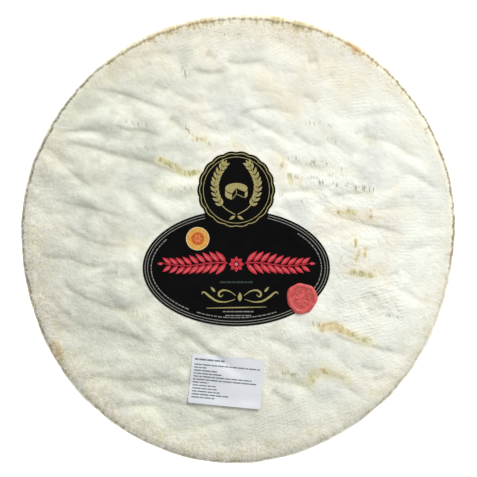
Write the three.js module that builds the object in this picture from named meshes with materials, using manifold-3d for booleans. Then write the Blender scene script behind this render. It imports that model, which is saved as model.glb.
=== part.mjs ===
// A whole wheel of soft cheese with a white bloomy rind, as it is sold: a wide, low drum with a rounded
// rim, wrinkled on top, that carries an oval paper label with a round crest, a wax seal and a small
// rectangular sticker. Everything on the wheel is draped over its wrinkles.
//
// Millimetres, +Z up. The origin is at the middle of the flat base. Seen from above, +X is to the label's
// right and +Y is towards its crest.
import * as THREE from "three";
import { mergeVertices } from "three/addons/utils/BufferGeometryUtils.js";
import Module from "manifold-3d";

const wasm = await Module();
wasm.setup();

// The wheel
const MEAN_RADIUS = 182.5;
const HEIGHT = 27;
const CELLS_ALONG = 40; // cells of the top's grid, from rim to rim, the way that the wrinkles run
const CELLS_ACROSS = 64; // and across them
const CELLS_DOWN = 6; // rows of cells down the side

// How far the wheel is from round: lobes round it, their size, and the heading of one lobe's peak
const OUTLINE_LOBES = [
  { lobes: 1, size: 1.6, heading: 79 },
  { lobes: 2, size: 3.6, heading: 76 },
  { lobes: 3, size: 1.1, heading: 34 },
  { lobes: 4, size: 0.4, heading: 53 },
  { lobes: 7, size: 0.35, heading: 13 },
];

// The side, in section: a rounded shoulder above the widest line and a tighter turn below it
const WIDEST_LINE = 12; // height of the widest line above the base
const SHOULDER_WIDTH = 10;
const SHOULDER_SQUARENESS = 2.7; // 2 is an ellipse, and more is squarer
const FOOT_WIDTH = 6;
const FOOT_SQUARENESS = 2.8;
const BELOW_BASE = 2; // how far the drum runs on below the base before it is cut flat
const UPPER_SHARE = 0.6; // share of the side's cells that lie above the widest line
const SIDE_RIPPLE = 0.15; // unevenness of the side, in and out
// Ripples round the side, and how far each leans on its way down
const SIDE_RIPPLES = [
  { count: 23, lean: 3 },
  { count: 37, lean: -4 },
];

// Wrinkles: long pillows side by side, with a narrow valley between each two
const PILLOW_HEIGHT = 1.1;
const PILLOW_MEAN = 0.8; // the pattern's mean height, as a share of its full height
const PILLOW_WAVES = 13; // waves summed into the pillows' pattern
const PILLOW_LENGTHS = [38, 74]; // shortest and longest wave across the pillows
const PILLOW_HEADING = -15; // the way that the pillows run, in degrees
const PILLOW_SPREAD = 27; // how far the waves' headings turn from it, in degrees
const PILLOW_WANDER = 7; // how far the pillows swing from side to side
const WANDER_LENGTHS = [64, 93]; // length of a swing along them, and of its delay across them
const WANDER_DELAY = 0.35;
const VALLEY_ROUNDING = 0.22;
const FLATTER_RIGHT = 0.5; // share of their height that the pillows lose at the right
const FLATTER_TOP = 0.25; // and at the top
const RIGHTWARDS = [-20, 90]; // where they begin and end to flatten towards the right
const UPWARDS = [60, 150]; // and towards the top
const FLATTER_RIM = 0.65; // and towards the rim
const RIM_REACH = 16; // width in which they flatten towards the rim
const DISH = 0.9; // the middle of the top lies this much below its edge

// Creases: the deepest valleys, each a bowed line that ripples. Places are seen from above, bow and ripple
// are sideways, to the left of the way from start to end, and depth is at the middle.
const CREASES = [
  { from: [-158, 79], to: [-42, 50], bow: 5, ripple: 1.5, depth: 2.2 },
  { from: [-125, 123], to: [-53, 104], bow: 3, ripple: 1.5, depth: 1.3 },
  { from: [-102, 95], to: [-60, 81], bow: 0, ripple: 1.0, depth: 1.4 },
  { from: [-160, 33], to: [-80, 13], bow: 1, ripple: 1.0, depth: 1.0 },
  { from: [-150, 10], to: [-88, -6], bow: -4, ripple: 2.0, depth: 1.2 },
  { from: [-165, -14], to: [-105, -22], bow: -1, ripple: 3.0, depth: 1.7 },
  { from: [-145, -32], to: [-74, -60], bow: -9, ripple: 0.5, depth: 1.8 },
  { from: [-130, -69], to: [-68, -89], bow: 1, ripple: 2.0, depth: 1.7 },
  { from: [-127, -110], to: [-53, -115], bow: -3, ripple: 1.0, depth: 1.2 },
  { from: [-97, -121], to: [2, -150], bow: 0, ripple: 3.0, depth: 1.9 },
  { from: [-40, 140], to: [-6, 139], bow: -4, ripple: 0.5, depth: 1.4 },
  { from: [-12, 146], to: [24, 146], bow: -2, ripple: 0.5, depth: 1.2 },
  { from: [-1, 102], to: [49, 101], bow: 7, ripple: 0.5, depth: 1.2 },
  { from: [39, 63], to: [73, 57], bow: 1, ripple: 0.5, depth: 1.1 },
  { from: [74, 34], to: [112, 37], bow: 3, ripple: 0.5, depth: 1.2 },
  { from: [68, 23], to: [158, -2], bow: 0, ripple: 1.5, depth: 1.9 },
  { from: [72, -76], to: [151, -94], bow: -6, ripple: 1.0, depth: 1.7 },
  { from: [19, -112], to: [65, -123], bow: -2, ripple: 1.0, depth: 1.6 },
  { from: [19, -82], to: [52, -95], bow: 1, ripple: 0.5, depth: 1.1 },
];
const CREASE_RIPPLES = 1.6; // ripples along a crease
const CREASE_SLOPE = 8; // width of the long slope above a crease, towards +Y
const CREASE_BANK = 3.4; // width of the steep bank below it
const CREASE_SHARPNESS = 1.5; // 2 is a rounded valley, and less is sharper
const CREASE_FADE = 0.22; // share of its length in which a crease dies out at each end

// The paper label: an oval with a scalloped round crest above it
const LABEL_CENTRE = [-1.4, -24];
const LABEL_HALF_WIDTH = 76.8;
const LABEL_HALF_HEIGHT = 47.7;
const CREST_RISE = 64; // from the oval's middle up to the crest's
const CREST_RADIUS = 32;
const CREST_SCALLOPS = 18;
const SCALLOP_DEPTH = 0.9;
const PAPER = 0.3; // thickness of label and sticker
const GAP = 0.3; // clearance under each piece that lies on another
const PRESSED_FLAT = 0.72; // share of the wrinkles that is pressed out under the label
const PRESSED_EDGE = 2; // how far inside the label they are pressed out in full
const PRESSED_MARGIN = 9; // width in which they come back round it

// The wax seal, on the label's lower right edge
const SEAL_CENTRE = [52.3, -48.8];
const SEAL_RADIUS = 12.6;
const SEAL_THICKNESS = 1.3;
const SEAL_DRIP = 0.75; // unevenness of the wax's outline
const SEAL_DISH_RADIUS = 9.6; // the stamped middle, inside the raised border
const SEAL_DISH_DEPTH = 0.5;
const SEAL_STAR_RAYS = 8;
const SEAL_STAR_RADII = [2.6, 7.0]; // inner and outer
const SEAL_STAR_POINT = 3; // 1 is a rounded ray, and more is more pointed
// Waves of the drip round the seal: their number, size as a share of the drip, and start
const SEAL_WAVES = [
  { count: 3, size: 0.6, start: 0.4 },
  { count: 7, size: 0.36, start: 2.1 },
];

// The rectangular sticker
const STICKER_CENTRE = [-9.7, -117];
const STICKER_SIZE = [59.5, 40.4];
const STICKER_CORNER = 1.5;
const STICKER_TURN = -5.5;

const OUTLINE_STEPS = 72; // sides of a round outline
const TOP_FACE = 0.9999; // a box's point at this height or more is on its upper face
const WELD = 1e-4; // corners this close become one
const GOLDEN = (Math.sqrt(5) - 1) / 2;

const clamp = THREE.MathUtils.clamp;
const radians = THREE.MathUtils.degToRad;
const smoothstep = THREE.MathUtils.smoothstep;
const fraction = (value) => value - Math.floor(value);
const between = (share, [low, high]) => low + (high - low) * share;

// A point's places along and across a heading.
function turned(x, y, degrees) {
  const [cos, sin] = [Math.cos(radians(degrees)), Math.sin(radians(degrees))];
  return [x * cos + y * sin, y * cos - x * sin];
}

function outlineRadius(angle) {
  return OUTLINE_LOBES.reduce(
    (radius, { lobes, size, heading }) =>
      radius + size * Math.cos(lobes * (angle - radians(heading))),
    MEAN_RADIUS,
  );
}

// How far a point lies inside the oval and its crest, in millimetres, and negative outside them.
function insideLabel(x, y) {
  const dx = x - LABEL_CENTRE[0];
  const dy = y - LABEL_CENTRE[1];
  const reach = Math.hypot(dx / LABEL_HALF_WIDTH, dy / LABEL_HALF_HEIGHT);
  const inOval = (1 - reach) * LABEL_HALF_HEIGHT;
  const inCrest = CREST_RADIUS - Math.hypot(dx, dy - CREST_RISE);
  return Math.max(inOval, inCrest);
}

// The pillows' pattern: waves of many lengths that nearly share one heading, which sum to about -2 to 2.
function pillowPattern(x, y) {
  const [along, straight] = turned(x, y, PILLOW_HEADING);
  const delay = WANDER_DELAY * Math.sin((2 * Math.PI * straight) / WANDER_LENGTHS[1]);
  const swing = Math.sin(2 * Math.PI * (along / WANDER_LENGTHS[0] + delay));
  const across = straight + PILLOW_WANDER * swing;
  let sum = 0;
  for (let i = 1; i <= PILLOW_WAVES; i++) {
    const length = between(fraction(i * GOLDEN), PILLOW_LENGTHS);
    const turn = between(fraction(i * GOLDEN * GOLDEN * 1.7), [-PILLOW_SPREAD, PILLOW_SPREAD]);
    const [place] = turned(along, across, 90 + turn);
    sum += Math.cos((2 * Math.PI * place) / length + 2 * Math.PI * fraction(i * i * GOLDEN));
  }
  return sum / Math.sqrt(PILLOW_WAVES / 2);
}

function pillows(x, y) {
  const rounded = Math.hypot(pillowPattern(x, y), VALLEY_ROUNDING);
  // The wrinkles are strongest on the left, and fainter at the right and at the top.
  const flatter = FLATTER_RIGHT * smoothstep(x, ...RIGHTWARDS) + FLATTER_TOP * smoothstep(y, ...UPWARDS);
  return PILLOW_HEIGHT * (1 - flatter) * (rounded - PILLOW_MEAN);
}

function creaseDepth(x, y, { from, to, bow, ripple, depth }) {
  const [lengthX, lengthY] = [to[0] - from[0], to[1] - from[1]];
  const length = Math.hypot(lengthX, lengthY);
  const [dx, dy] = [x - from[0], y - from[1]];
  const share = (dx * lengthX + dy * lengthY) / (length * length);
  const t = clamp(share, 0, 1);
  const bowed = bow * 4 * t * (1 - t) + ripple * Math.sin(2 * Math.PI * CREASE_RIPPLES * t);
  const side = (dy * lengthX - dx * lengthY) / length - bowed;
  const width = side > 0 ? CREASE_SLOPE : CREASE_BANK;
  const ends = smoothstep(share, 0, CREASE_FADE) * smoothstep(1 - share, 0, CREASE_FADE);
  return depth * ends * Math.exp(-Math.pow(Math.abs(side) / width, CREASE_SHARPNESS));
}

// Height of the wheel's top above the base, at a place inside the rim.
function topHeight(x, y) {
  const angle = Math.atan2(y, x);
  const fromRim = outlineRadius(angle) - Math.hypot(x, y);
  const atRim = 1 - smoothstep(fromRim, SHOULDER_WIDTH, SHOULDER_WIDTH + RIM_REACH);
  const pressed = PRESSED_FLAT * smoothstep(insideLabel(x, y), -PRESSED_MARGIN, PRESSED_EDGE);
  const creases = CREASES.reduce((sum, crease) => sum + creaseDepth(x, y, crease), 0);
  const wrinkles = (pillows(x, y) - creases) * (1 - pressed) * (1 - FLATTER_RIM * atRim);
  const dish = DISH * (1 - Math.pow(Math.hypot(x, y) / MEAN_RADIUS, 2));
  return HEIGHT - dish + wrinkles;
}

// A square's point, each side -1 to 1, moved to the disc of radius 1 so that squares become rings.
function squareToDisc(u, v) {
  if (u === 0 && v === 0) return { reach: 0, angle: 0 };
  const quarter = Math.PI / 4;
  if (Math.abs(u) > Math.abs(v)) {
    return { reach: Math.abs(u), angle: quarter * (v / u) + (u < 0 ? Math.PI : 0) };
  }
  return { reach: Math.abs(v), angle: 2 * quarter - quarter * (u / v) + (v < 0 ? Math.PI : 0) };
}

// The side's section: how far in from the outline, and the share of the way up to the shoulder's top.
function sideSection(down) {
  if (down < UPPER_SHARE) {
    const turn = (Math.PI / 2) * (down / UPPER_SHARE);
    const inward = 1 - Math.pow(Math.sin(turn), 2 / SHOULDER_SQUARENESS);
    const up = Math.pow(Math.cos(turn), 2 / SHOULDER_SQUARENESS);
    return { inset: SHOULDER_WIDTH * inward, rise: up, above: true };
  }
  const turn = (Math.PI / 2) * ((down - UPPER_SHARE) / (1 - UPPER_SHARE));
  const inward = 1 - Math.pow(Math.cos(turn), 2 / FOOT_SQUARENESS);
  return { inset: FOOT_WIDTH * inward, rise: Math.sin(turn), above: false };
}

// A point of the box, each side -1 to 1, moved to the wheel's surface.
function boxToWheel(u, v, w) {
  const { reach, angle: gridAngle } = squareToDisc(u, v);
  const angle = gridAngle + radians(PILLOW_HEADING);
  const outline = outlineRadius(angle);
  const direction = [Math.cos(angle), Math.sin(angle)];
  if (w > TOP_FACE) {
    const radius = reach * (outline - SHOULDER_WIDTH);
    const [x, y] = direction.map((d) => d * radius);
    return [x, y, topHeight(x, y)];
  }
  const { inset, rise, above } = sideSection((1 - w) / 2);
  const ripples = SIDE_RIPPLES.reduce((sum, { count, lean }) => sum + Math.sin(count * angle + lean * w), 0);
  const radius = (outline - inset + SIDE_RIPPLE * ripples * (1 - w * w)) * reach;
  const [x, y] = direction.map((d) => d * radius);
  const [edgeX, edgeY] = direction.map((d) => d * (outline - SHOULDER_WIDTH));
  const z = above
    ? WIDEST_LINE + (topHeight(edgeX, edgeY) - WIDEST_LINE) * rise
    : WIDEST_LINE - (WIDEST_LINE + BELOW_BASE) * rise;
  return [x, y, z];
}

// A three.js geometry as a manifold-3d solid, and back.
function solidOf(geometry) {
  const bare = geometry.clone();
  bare.deleteAttribute("normal");
  bare.deleteAttribute("uv");
  const merged = mergeVertices(bare, WELD);
  const vertProperties = new Float32Array(merged.getAttribute("position").array);
  const triVerts = new Uint32Array(merged.index.array);
  return new wasm.Manifold(new wasm.Mesh({ numProp: 3, vertProperties, triVerts }));
}

function geometryOf(solid) {
  const { vertProperties, triVerts } = solid.getMesh();
  const geometry = new THREE.BufferGeometry();
  geometry.setAttribute("position", new THREE.BufferAttribute(vertProperties, 3));
  geometry.setIndex(new THREE.BufferAttribute(triVerts, 1));
  geometry.computeVertexNormals();
  return geometry;
}

// The drum before its base is cut flat.
function wheelBlank() {
  const box = new THREE.BoxGeometry(2, 2, 2, CELLS_ALONG, CELLS_ACROSS, CELLS_DOWN);
  const position = box.getAttribute("position");
  for (let i = 0; i < position.count; i++) {
    const place = boxToWheel(position.getX(i), position.getY(i), position.getZ(i));
    position.setXYZ(i, ...place);
  }
  return solidOf(box);
}

function wheelSolid(blank) {
  const wide = 3 * MEAN_RADIUS;
  const floor = new THREE.BoxGeometry(wide, wide, HEIGHT).translate(0, 0, -HEIGHT / 2);
  return blank.subtract(solidOf(floor));
}

// An upright column through the wheel's top, of the outline that a function gives for each turn of 0 to 1.
function column(outline) {
  const points = Array.from({ length: OUTLINE_STEPS }, (_, i) => {
    const [x, y] = outline(i / OUTLINE_STEPS);
    return new THREE.Vector2(x, y);
  });
  return columnOf(new THREE.Shape(points));
}

function columnOf(shape) {
  const height = 2 * HEIGHT;
  return solidOf(
    new THREE.ExtrudeGeometry(shape, { depth: height, bevelEnabled: false }).translate(0, 0, HEIGHT / 2),
  );
}

// What of a column lies between the wheel's top raised by low and raised by high.
function draped(blank, upright, low, high) {
  return upright.intersect(blank.translate([0, 0, high])).subtract(blank.translate([0, 0, low]));
}

function ovalOutline(turn) {
  const angle = 2 * Math.PI * turn;
  return [
    LABEL_CENTRE[0] + LABEL_HALF_WIDTH * Math.cos(angle),
    LABEL_CENTRE[1] + LABEL_HALF_HEIGHT * Math.sin(angle),
  ];
}

function crestOutline(turn) {
  const angle = 2 * Math.PI * turn;
  const radius = CREST_RADIUS - SCALLOP_DEPTH * (1 - Math.abs(Math.cos((CREST_SCALLOPS / 2) * angle)));
  return [
    LABEL_CENTRE[0] + radius * Math.sin(-angle),
    LABEL_CENTRE[1] + CREST_RISE + radius * Math.cos(angle),
  ];
}

function labelSolid(blank) {
  const upright = column(ovalOutline).add(column(crestOutline));
  return draped(blank, upright, GAP, GAP + PAPER);
}

const sealOutline = (reach, drip) => (turn) => {
  const angle = 2 * Math.PI * turn;
  const uneven = SEAL_WAVES.reduce(
    (sum, { count, size, start }) => sum + drip * size * Math.sin(count * angle + start),
    0,
  );
  return [
    SEAL_CENTRE[0] + (reach + uneven) * Math.cos(angle),
    SEAL_CENTRE[1] + (reach + uneven) * Math.sin(angle),
  ];
};

function starOutline(turn) {
  const angle = 2 * Math.PI * turn;
  const ray = Math.pow(Math.abs(Math.cos((SEAL_STAR_RAYS / 2) * angle)), SEAL_STAR_POINT);
  const radius = between(ray, SEAL_STAR_RADII);
  return [SEAL_CENTRE[0] + radius * Math.cos(angle), SEAL_CENTRE[1] + radius * Math.sin(angle)];
}

function sealSolid(blank) {
  const foot = GAP + PAPER + GAP;
  const top = foot + SEAL_THICKNESS;
  const wax = draped(blank, column(sealOutline(SEAL_RADIUS, SEAL_DRIP)), foot, top);
  const stamped = column(sealOutline(SEAL_DISH_RADIUS, 0)).subtract(column(starOutline));
  return wax.subtract(draped(blank, stamped, top - SEAL_DISH_DEPTH, top + GAP));
}

function stickerSolid(blank) {
  const [width, height] = STICKER_SIZE;
  const [right, top, corner] = [width / 2, height / 2, STICKER_CORNER];
  const shape = new THREE.Shape();
  shape.absarc(right - corner, top - corner, corner, 0, Math.PI / 2);
  shape.absarc(corner - right, top - corner, corner, Math.PI / 2, Math.PI);
  shape.absarc(corner - right, corner - top, corner, Math.PI, 1.5 * Math.PI);
  shape.absarc(right - corner, corner - top, corner, 1.5 * Math.PI, 2 * Math.PI);
  const upright = columnOf(shape)
    .rotate([0, 0, STICKER_TURN])
    .translate([...STICKER_CENTRE, 0]);
  return draped(blank, upright, GAP, GAP + PAPER);
}

function piece(name, solid, colour, roughness) {
  const material = new THREE.MeshStandardMaterial({ color: colour, roughness, metalness: 0 });
  const mesh = new THREE.Mesh(geometryOf(solid), material);
  mesh.name = name;
  return mesh;
}

const blank = wheelBlank();
const brie = new THREE.Group();
brie.add(
  piece("cheese_wheel", wheelSolid(blank), "#e9e8dc", 0.9),
  piece("oval_label", labelSolid(blank), "#121214", 0.45),
  piece("wax_seal", sealSolid(blank), "#c9494a", 0.4),
  piece("paper_sticker", stickerSolid(blank), "#e3e8ee", 0.55),
);

export default brie;
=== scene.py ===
"""A whole wheel of soft cheese with a white bloomy rind, its oval label, wax seal and price sticker.

Lengths are in metres. +Z is up, +X is to the label's right and +Y is towards its crest.
"""

import math
import random

import bmesh
import bpy
import numpy as np
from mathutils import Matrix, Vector, noise


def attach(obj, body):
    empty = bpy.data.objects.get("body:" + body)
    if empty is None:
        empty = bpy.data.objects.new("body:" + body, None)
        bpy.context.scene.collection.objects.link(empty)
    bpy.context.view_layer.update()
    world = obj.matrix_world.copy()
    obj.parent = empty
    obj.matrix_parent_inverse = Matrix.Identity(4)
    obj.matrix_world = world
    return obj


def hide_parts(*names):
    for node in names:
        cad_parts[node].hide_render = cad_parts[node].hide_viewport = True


bl_info = {
    "name": "Brie Wheel",
    "version": (1, 0, 0),
    "blender": (4, 5, 0),
    "location": "View3D > Sidebar > Brie Wheel",
    "description": "Makes a wheel of soft white cheese with its label, seal and sticker",
    "category": "Add Mesh",
}

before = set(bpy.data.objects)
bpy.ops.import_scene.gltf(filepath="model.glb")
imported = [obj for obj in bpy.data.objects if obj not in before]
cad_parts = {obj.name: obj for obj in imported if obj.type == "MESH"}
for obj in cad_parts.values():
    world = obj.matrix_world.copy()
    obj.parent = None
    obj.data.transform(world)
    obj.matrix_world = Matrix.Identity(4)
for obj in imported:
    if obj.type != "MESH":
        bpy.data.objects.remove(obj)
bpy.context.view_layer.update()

MM = 0.001
ROOT = "root"

# The wheel's form
MEAN_RADIUS = 182.5 * MM
HEIGHT = 27 * MM
WIDEST_LINE = 12 * MM
SHOULDER_WIDTH = 10 * MM
SHOULDER_SQUARENESS = 2.7
FOOT_WIDTH = 6 * MM
FOOT_SQUARENESS = 2.8
BELOW_BASE = 2 * MM
SHOULDER_SHARE = 0.6  # of the rows down the side that are above the widest line

# The outline is out of round by waves around it: how many, how large, and the heading of the first one's top
OUTLINE_LOBES = (
    (1, 1.6 * MM, 79),
    (2, 3.6 * MM, 76),
    (3, 1.1 * MM, 34),
    (4, 0.4 * MM, 53),
    (7, 0.35 * MM, 13),
)
SIDE_RIPPLES = ((23, 3), (37, -4))  # waves around the side, and how far each leans on its way down
SIDE_RIPPLE = 0.15 * MM
SIDE_DENT_SIZE = (11 * MM, 11 * MM, 6 * MM)
SIDE_DENT_DEPTH = 0.35 * MM

# The folds of the top
PILLOW_HEIGHT = 1.1 * MM
PILLOW_WAVES = 13
PILLOW_LENGTHS = (38 * MM, 74 * MM)
PILLOW_HEADING = -15
PILLOW_SPREAD = 27
PILLOW_WANDER = 7 * MM
WANDER_LENGTHS = (64 * MM, 93 * MM)
WANDER_DELAY = 0.35
FLATTER_RIGHT = 0.5
FLATTER_TOP = 0.45
RIGHTWARDS = (-20 * MM, 90 * MM)  # where they begin and end to flatten
UPWARDS = (60 * MM, 150 * MM)
FLATTER_RIM = 0.65
RIM_REACH = 16 * MM
VALLEY_ROUNDING = 0.22
PILLOW_MEAN = 0.8
DISH = 0.9 * MM
GOLDEN = (math.sqrt(5) - 1) / 2

# Creases: how deep each is in the middle, and its way from left to right, in millimetres
CREASES = (
    (2.0, ((-158, 79), (-130, 78), (-118, 74), (-104, 70), (-92, 64), (-76, 67), (-58, 54), (-42, 50),
           (-28, 49.5))),
    (1.3, ((-125, 123), (-100, 122), (-84, 114), (-66, 108), (-53, 104))),
    (0.9, ((-58, 99), (-51, 98), (-43, 88))),
    (1.4, ((-102, 95), (-97, 90), (-90, 88), (-80, 89), (-72, 88), (-60, 81))),
    (0.6, ((-106, 104), (-98, 101))), (0.7, ((-150, 49), (-139, 48), (-125, 51))),
    (0.7, ((-123, 63), (-112, 63))),
    (1.0, ((-160, 33), (-147, 30), (-128, 27), (-118, 23), (-100, 20), (-80, 13))),
    (1.2, ((-150, 10), (-140, 12), (-132, 2), (-122, -3), (-100, -8), (-88, -6))),
    (1.7, ((-165, -14), (-150, -18), (-138, -13), (-127, -22), (-120, -25), (-105, -22))),
    (0.8, ((-114, -28), (-98, -29))),
    (1.8, ((-145, -32), (-139, -42), (-133, -47), (-112, -54), (-97, -61), (-74, -60))),
    (1.7, ((-130, -69), (-118, -73), (-108, -74), (-95, -82), (-83, -79), (-78, -87), (-68, -89))),
    (0.9, ((-64, -83), (-50, -86), (-42, -82))),
    (1.2, ((-127, -110), (-100, -117), (-85, -117), (-53, -115))),
    (1.9, ((-97, -121), (-80, -124), (-72, -129), (-54, -136), (-38, -134), (-18, -151), (2, -150))),
    (1.0, ((-53, -103), (-47, -106), (-38, -105))), (0.6, ((-152, -61), (-136, -63))),
    (1.4, ((-40, 140), (-30, 137), (-22, 134), (-16, 137), (-6, 139))), (0.9, ((-28, 152), (-17, 147))),
    (1.2, ((-12, 146), (-2, 143), (10, 144), (24, 146))), (0.6, ((-70, 128), (-58, 120))),
    (0.6, ((-82, 138), (-70, 144))), (0.8, ((-43, 102), (-30, 101), (-20, 106), (-8, 108))),
    (1.2, ((-1, 102), (8, 104), (20, 108), (33, 108), (49, 101))), (0.9, ((7, 122), (30, 121), (38, 117))),
    (0.6, ((-19, 97), (-10, 92), (12, 91))), (0.6, ((8, 88), (20, 87), (34, 95))),
    (1.2, ((56, 144), (66, 146))), (0.5, ((34, 138), (50, 136))), (0.9, ((51, 118), (60, 115), (66, 111))),
    (0.8, ((73, 134), (79, 132))), (0.7, ((79, 125), (85, 123))), (0.5, ((85, 106), (94, 102))),
    (0.6, ((94, 85), (101, 89), (108, 90))), (0.8, ((101, 84), (114, 81))),
    (0.9, ((43, 89), (50, 86), (56, 76), (72, 75))), (0.9, ((72, 83), (80, 77), (88, 69), (97, 67))),
    (1.1, ((39, 63), (50, 61), (60, 58), (73, 57))), (1.2, ((74, 34), (90, 38), (112, 37))),
    (0.8, ((131, 34), (139, 35), (145, 32))), (0.6, ((62, 40), (68, 30), (73, 19))),
    (1.5, ((68, 24), (72, 20), (80, 18), (94, 15), (103, 11), (115, 9), (129, 6), (142, 1))),
    (0.8, ((113, -29), (122, -31), (133, -28))), (0.8, ((100, -52), (115, -46))),
    (0.8, ((105, -60), (113, -56), (119, -59))), (0.6, ((121, -62), (126, -64))),
    (0.6, ((133, -40), (147, -50), (157, -54))),
    (1.3, ((72, -76), (81, -80), (97, -87), (113, -91), (135, -93), (143, -98))),
    (0.9, ((98, -103), (109, -110), (122, -108))), (1.3, ((109, -118), (116, -114), (128, -113))),
    (1.6, ((19, -112), (30, -117), (44, -117), (50, -120), (65, -123))),
    (1.1, ((26, -124), (33, -131), (46, -134))), (1.1, ((19, -82), (32, -83), (40, -86), (52, -95))),
    (0.6, ((54, -76), (68, -84))), (0.6, ((66, -89), (76, -90))),
)
CREASE_SLOPE = (3.2 * MM, 2.2)  # width of the slope above a crease: for none, and for each unit of depth
CREASE_BANK = 1.35  # width of the bank below it, as a share of the slope's
CREASE_SHARPNESS = 1.4
CREASE_CORE = (1.2 * MM, 0.14)  # width and share of the narrow cut at its bottom
CREASE_FADE = 0.25
CREASE_LINE = 2.3 * MM  # width of the shade along its bottom

# Puffs between the folds: size along and across them, height, and octaves
DENTS = (
    (38 * MM, 27 * MM, 2.0 * MM, 1),
    (17 * MM, 12 * MM, 0.4 * MM, 1),
    (5 * MM, 4 * MM, 0.08 * MM, 1),
)
PUFF_SWELL = 1.7
PUFF_ROUNDING = 0.1
PUFF_MEAN = 0.45
FLATTER_PUFFS = 0.35  # near the upper and the lower edge
PUFF_SHARES = (1.25, 0.35)  # of the puffs' height: at the left edge and at the right one
CAVITY_REACH = 3.5 * MM

# The label
LABEL_CENTRE = (-1.4 * MM, -24 * MM)
LABEL_HALF_WIDTH = 76.8 * MM
LABEL_HALF_HEIGHT = 47.7 * MM
CREST_RISE = 64 * MM
CREST_RADIUS = 32 * MM
CREST_SCALLOPS = 18
SCALLOP_DEPTH = 0.9 * MM
PRESSED_FLAT = 0.72
PRESSED_MARGIN = 9 * MM
PAPER = 0.24 * MM
PAPER_GAP = 0.1 * MM
PAPER_CELL = 1.6 * MM
INK = 0.05 * MM
INK_SINK = 0.02 * MM
INK_CELL = 2.4 * MM
ROUNDEL_PLACE = (-31.7, 24.1)  # from the oval's middle, in millimetres
PALE_PRINT = "#8c8b84"
DIM_PRINT = "#34403a"
OVERPRINTS = ("leaf_veins", "roundel_flower")  # the inks that lie on another ink

# The wax seal and the sticker
SEAL_CENTRE = (52.3 * MM, -48.8 * MM)
SEAL_DISH = 0.75  # of the seal's radius, to the inner foot of its border
SEAL_CELLS = 72
SEAL_RAYS = 8
STICKER_CENTRE = (-9.7 * MM, -117 * MM)
STICKER_SIZE = (59.5 * MM, 40.4 * MM)
STICKER_TURN = -5.5
STICKER_CORNER = 1.5 * MM

# The picture's frame: 477 pixels across show this much of the plane of the wheel's widest line
PICTURE_WIDTH = 393.5 * MM
PICTURE_CENTRE = (0.36 * MM, 0.25 * MM)

MIX_FACTOR, MIX_A, MIX_B, MIX_RESULT = 0, 6, 7, 2


# Small helpers


def linear(code):
    """The linear colour of a hex code."""
    channels = [int(code[i : i + 2], 16) / 255 for i in (1, 3, 5)]
    return tuple(c / 12.92 if c <= 0.04045 else ((c + 0.055) / 1.055) ** 2.4 for c in channels)


def smoothstep(value, low, high):
    share = np.clip((value - low) / (high - low), 0.0, 1.0)
    return share * share * (3.0 - 2.0 * share)


def fraction(value):
    return value - math.floor(value)


def between(share, ends):
    return ends[0] + (ends[1] - ends[0]) * share


def turned(x, y, degrees):
    """Coordinates along and across a heading."""
    heading = math.radians(degrees)
    return x * math.cos(heading) + y * math.sin(heading), y * math.cos(heading) - x * math.sin(heading)


def noise_field(x, y, size, octaves=2, layer=0.0):
    """Soft random bumps, each about size across, roughly from -1 to 1."""
    points = zip((x / size).tolist(), (y / size).tolist())
    return np.array([noise.fractal((a, b, layer), 0.9, 2.0, octaves) for a, b in points])


def curve_through(points, steps=5):
    """A smooth curve by way of the given points, which it rounds off a little."""
    rough = np.array(points, float)
    rough[1:-1] = (rough[:-2] + 2 * rough[1:-1] + rough[2:]) / 4
    ends = np.concatenate((rough[:1], rough, rough[-1:]))
    t = np.linspace(0, 1, steps, endpoint=False)[:, None]
    parts = [
        b + t * (c - a) / 2 + t**2 * (a - 2.5 * b + 2 * c - d / 2) + t**3 * (1.5 * (b - c) + (d - a) / 2)
        for a, b, c, d in zip(ends, ends[1:], ends[2:], ends[3:])
    ]
    return np.concatenate((*parts, ends[-1:]))


# The wheel's relief


def outline_radius(angle):
    lobes = (size * np.cos(count * (angle - math.radians(heading))) for count, size, heading in OUTLINE_LOBES)
    return MEAN_RADIUS + sum(lobes)


def inside_label(x, y):
    """How far inside the label a point is, less than zero outside it."""
    dx, dy = x - LABEL_CENTRE[0], y - LABEL_CENTRE[1]
    in_oval = (1 - np.hypot(dx / LABEL_HALF_WIDTH, dy / LABEL_HALF_HEIGHT)) * LABEL_HALF_HEIGHT
    in_crest = CREST_RADIUS - np.hypot(dx, dy - CREST_RISE)
    return np.maximum(in_oval, in_crest)


def inside_sticker(x, y):
    along, up = turned(x - STICKER_CENTRE[0], y - STICKER_CENTRE[1], STICKER_TURN)
    return np.minimum(STICKER_SIZE[0] / 2 - np.abs(along), STICKER_SIZE[1] / 2 - np.abs(up))


def pillow_pattern(x, y):
    along, across = turned(x, y, PILLOW_HEADING)
    swing = along / WANDER_LENGTHS[0] + WANDER_DELAY * np.sin(2 * math.pi * across / WANDER_LENGTHS[1])
    across = across + PILLOW_WANDER * np.sin(2 * math.pi * swing)
    total = 0
    for i in range(1, PILLOW_WAVES + 1):
        length = between(fraction(i * GOLDEN), PILLOW_LENGTHS)
        turn = between(fraction(i * GOLDEN * GOLDEN * 1.7), (-PILLOW_SPREAD, PILLOW_SPREAD))
        place, _ = turned(along, across, 90 + turn)
        total = total + np.cos(2 * math.pi * place / length + 2 * math.pi * fraction(i * i * GOLDEN))
    return total / math.sqrt(PILLOW_WAVES / 2)


def pillows(x, y):
    rounded = np.hypot(pillow_pattern(x, y), VALLEY_ROUNDING)
    flatter = FLATTER_RIGHT * smoothstep(x, *RIGHTWARDS) + FLATTER_TOP * smoothstep(y, *UPWARDS)
    return PILLOW_HEIGHT * (1 - flatter) * (rounded - PILLOW_MEAN)


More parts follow.
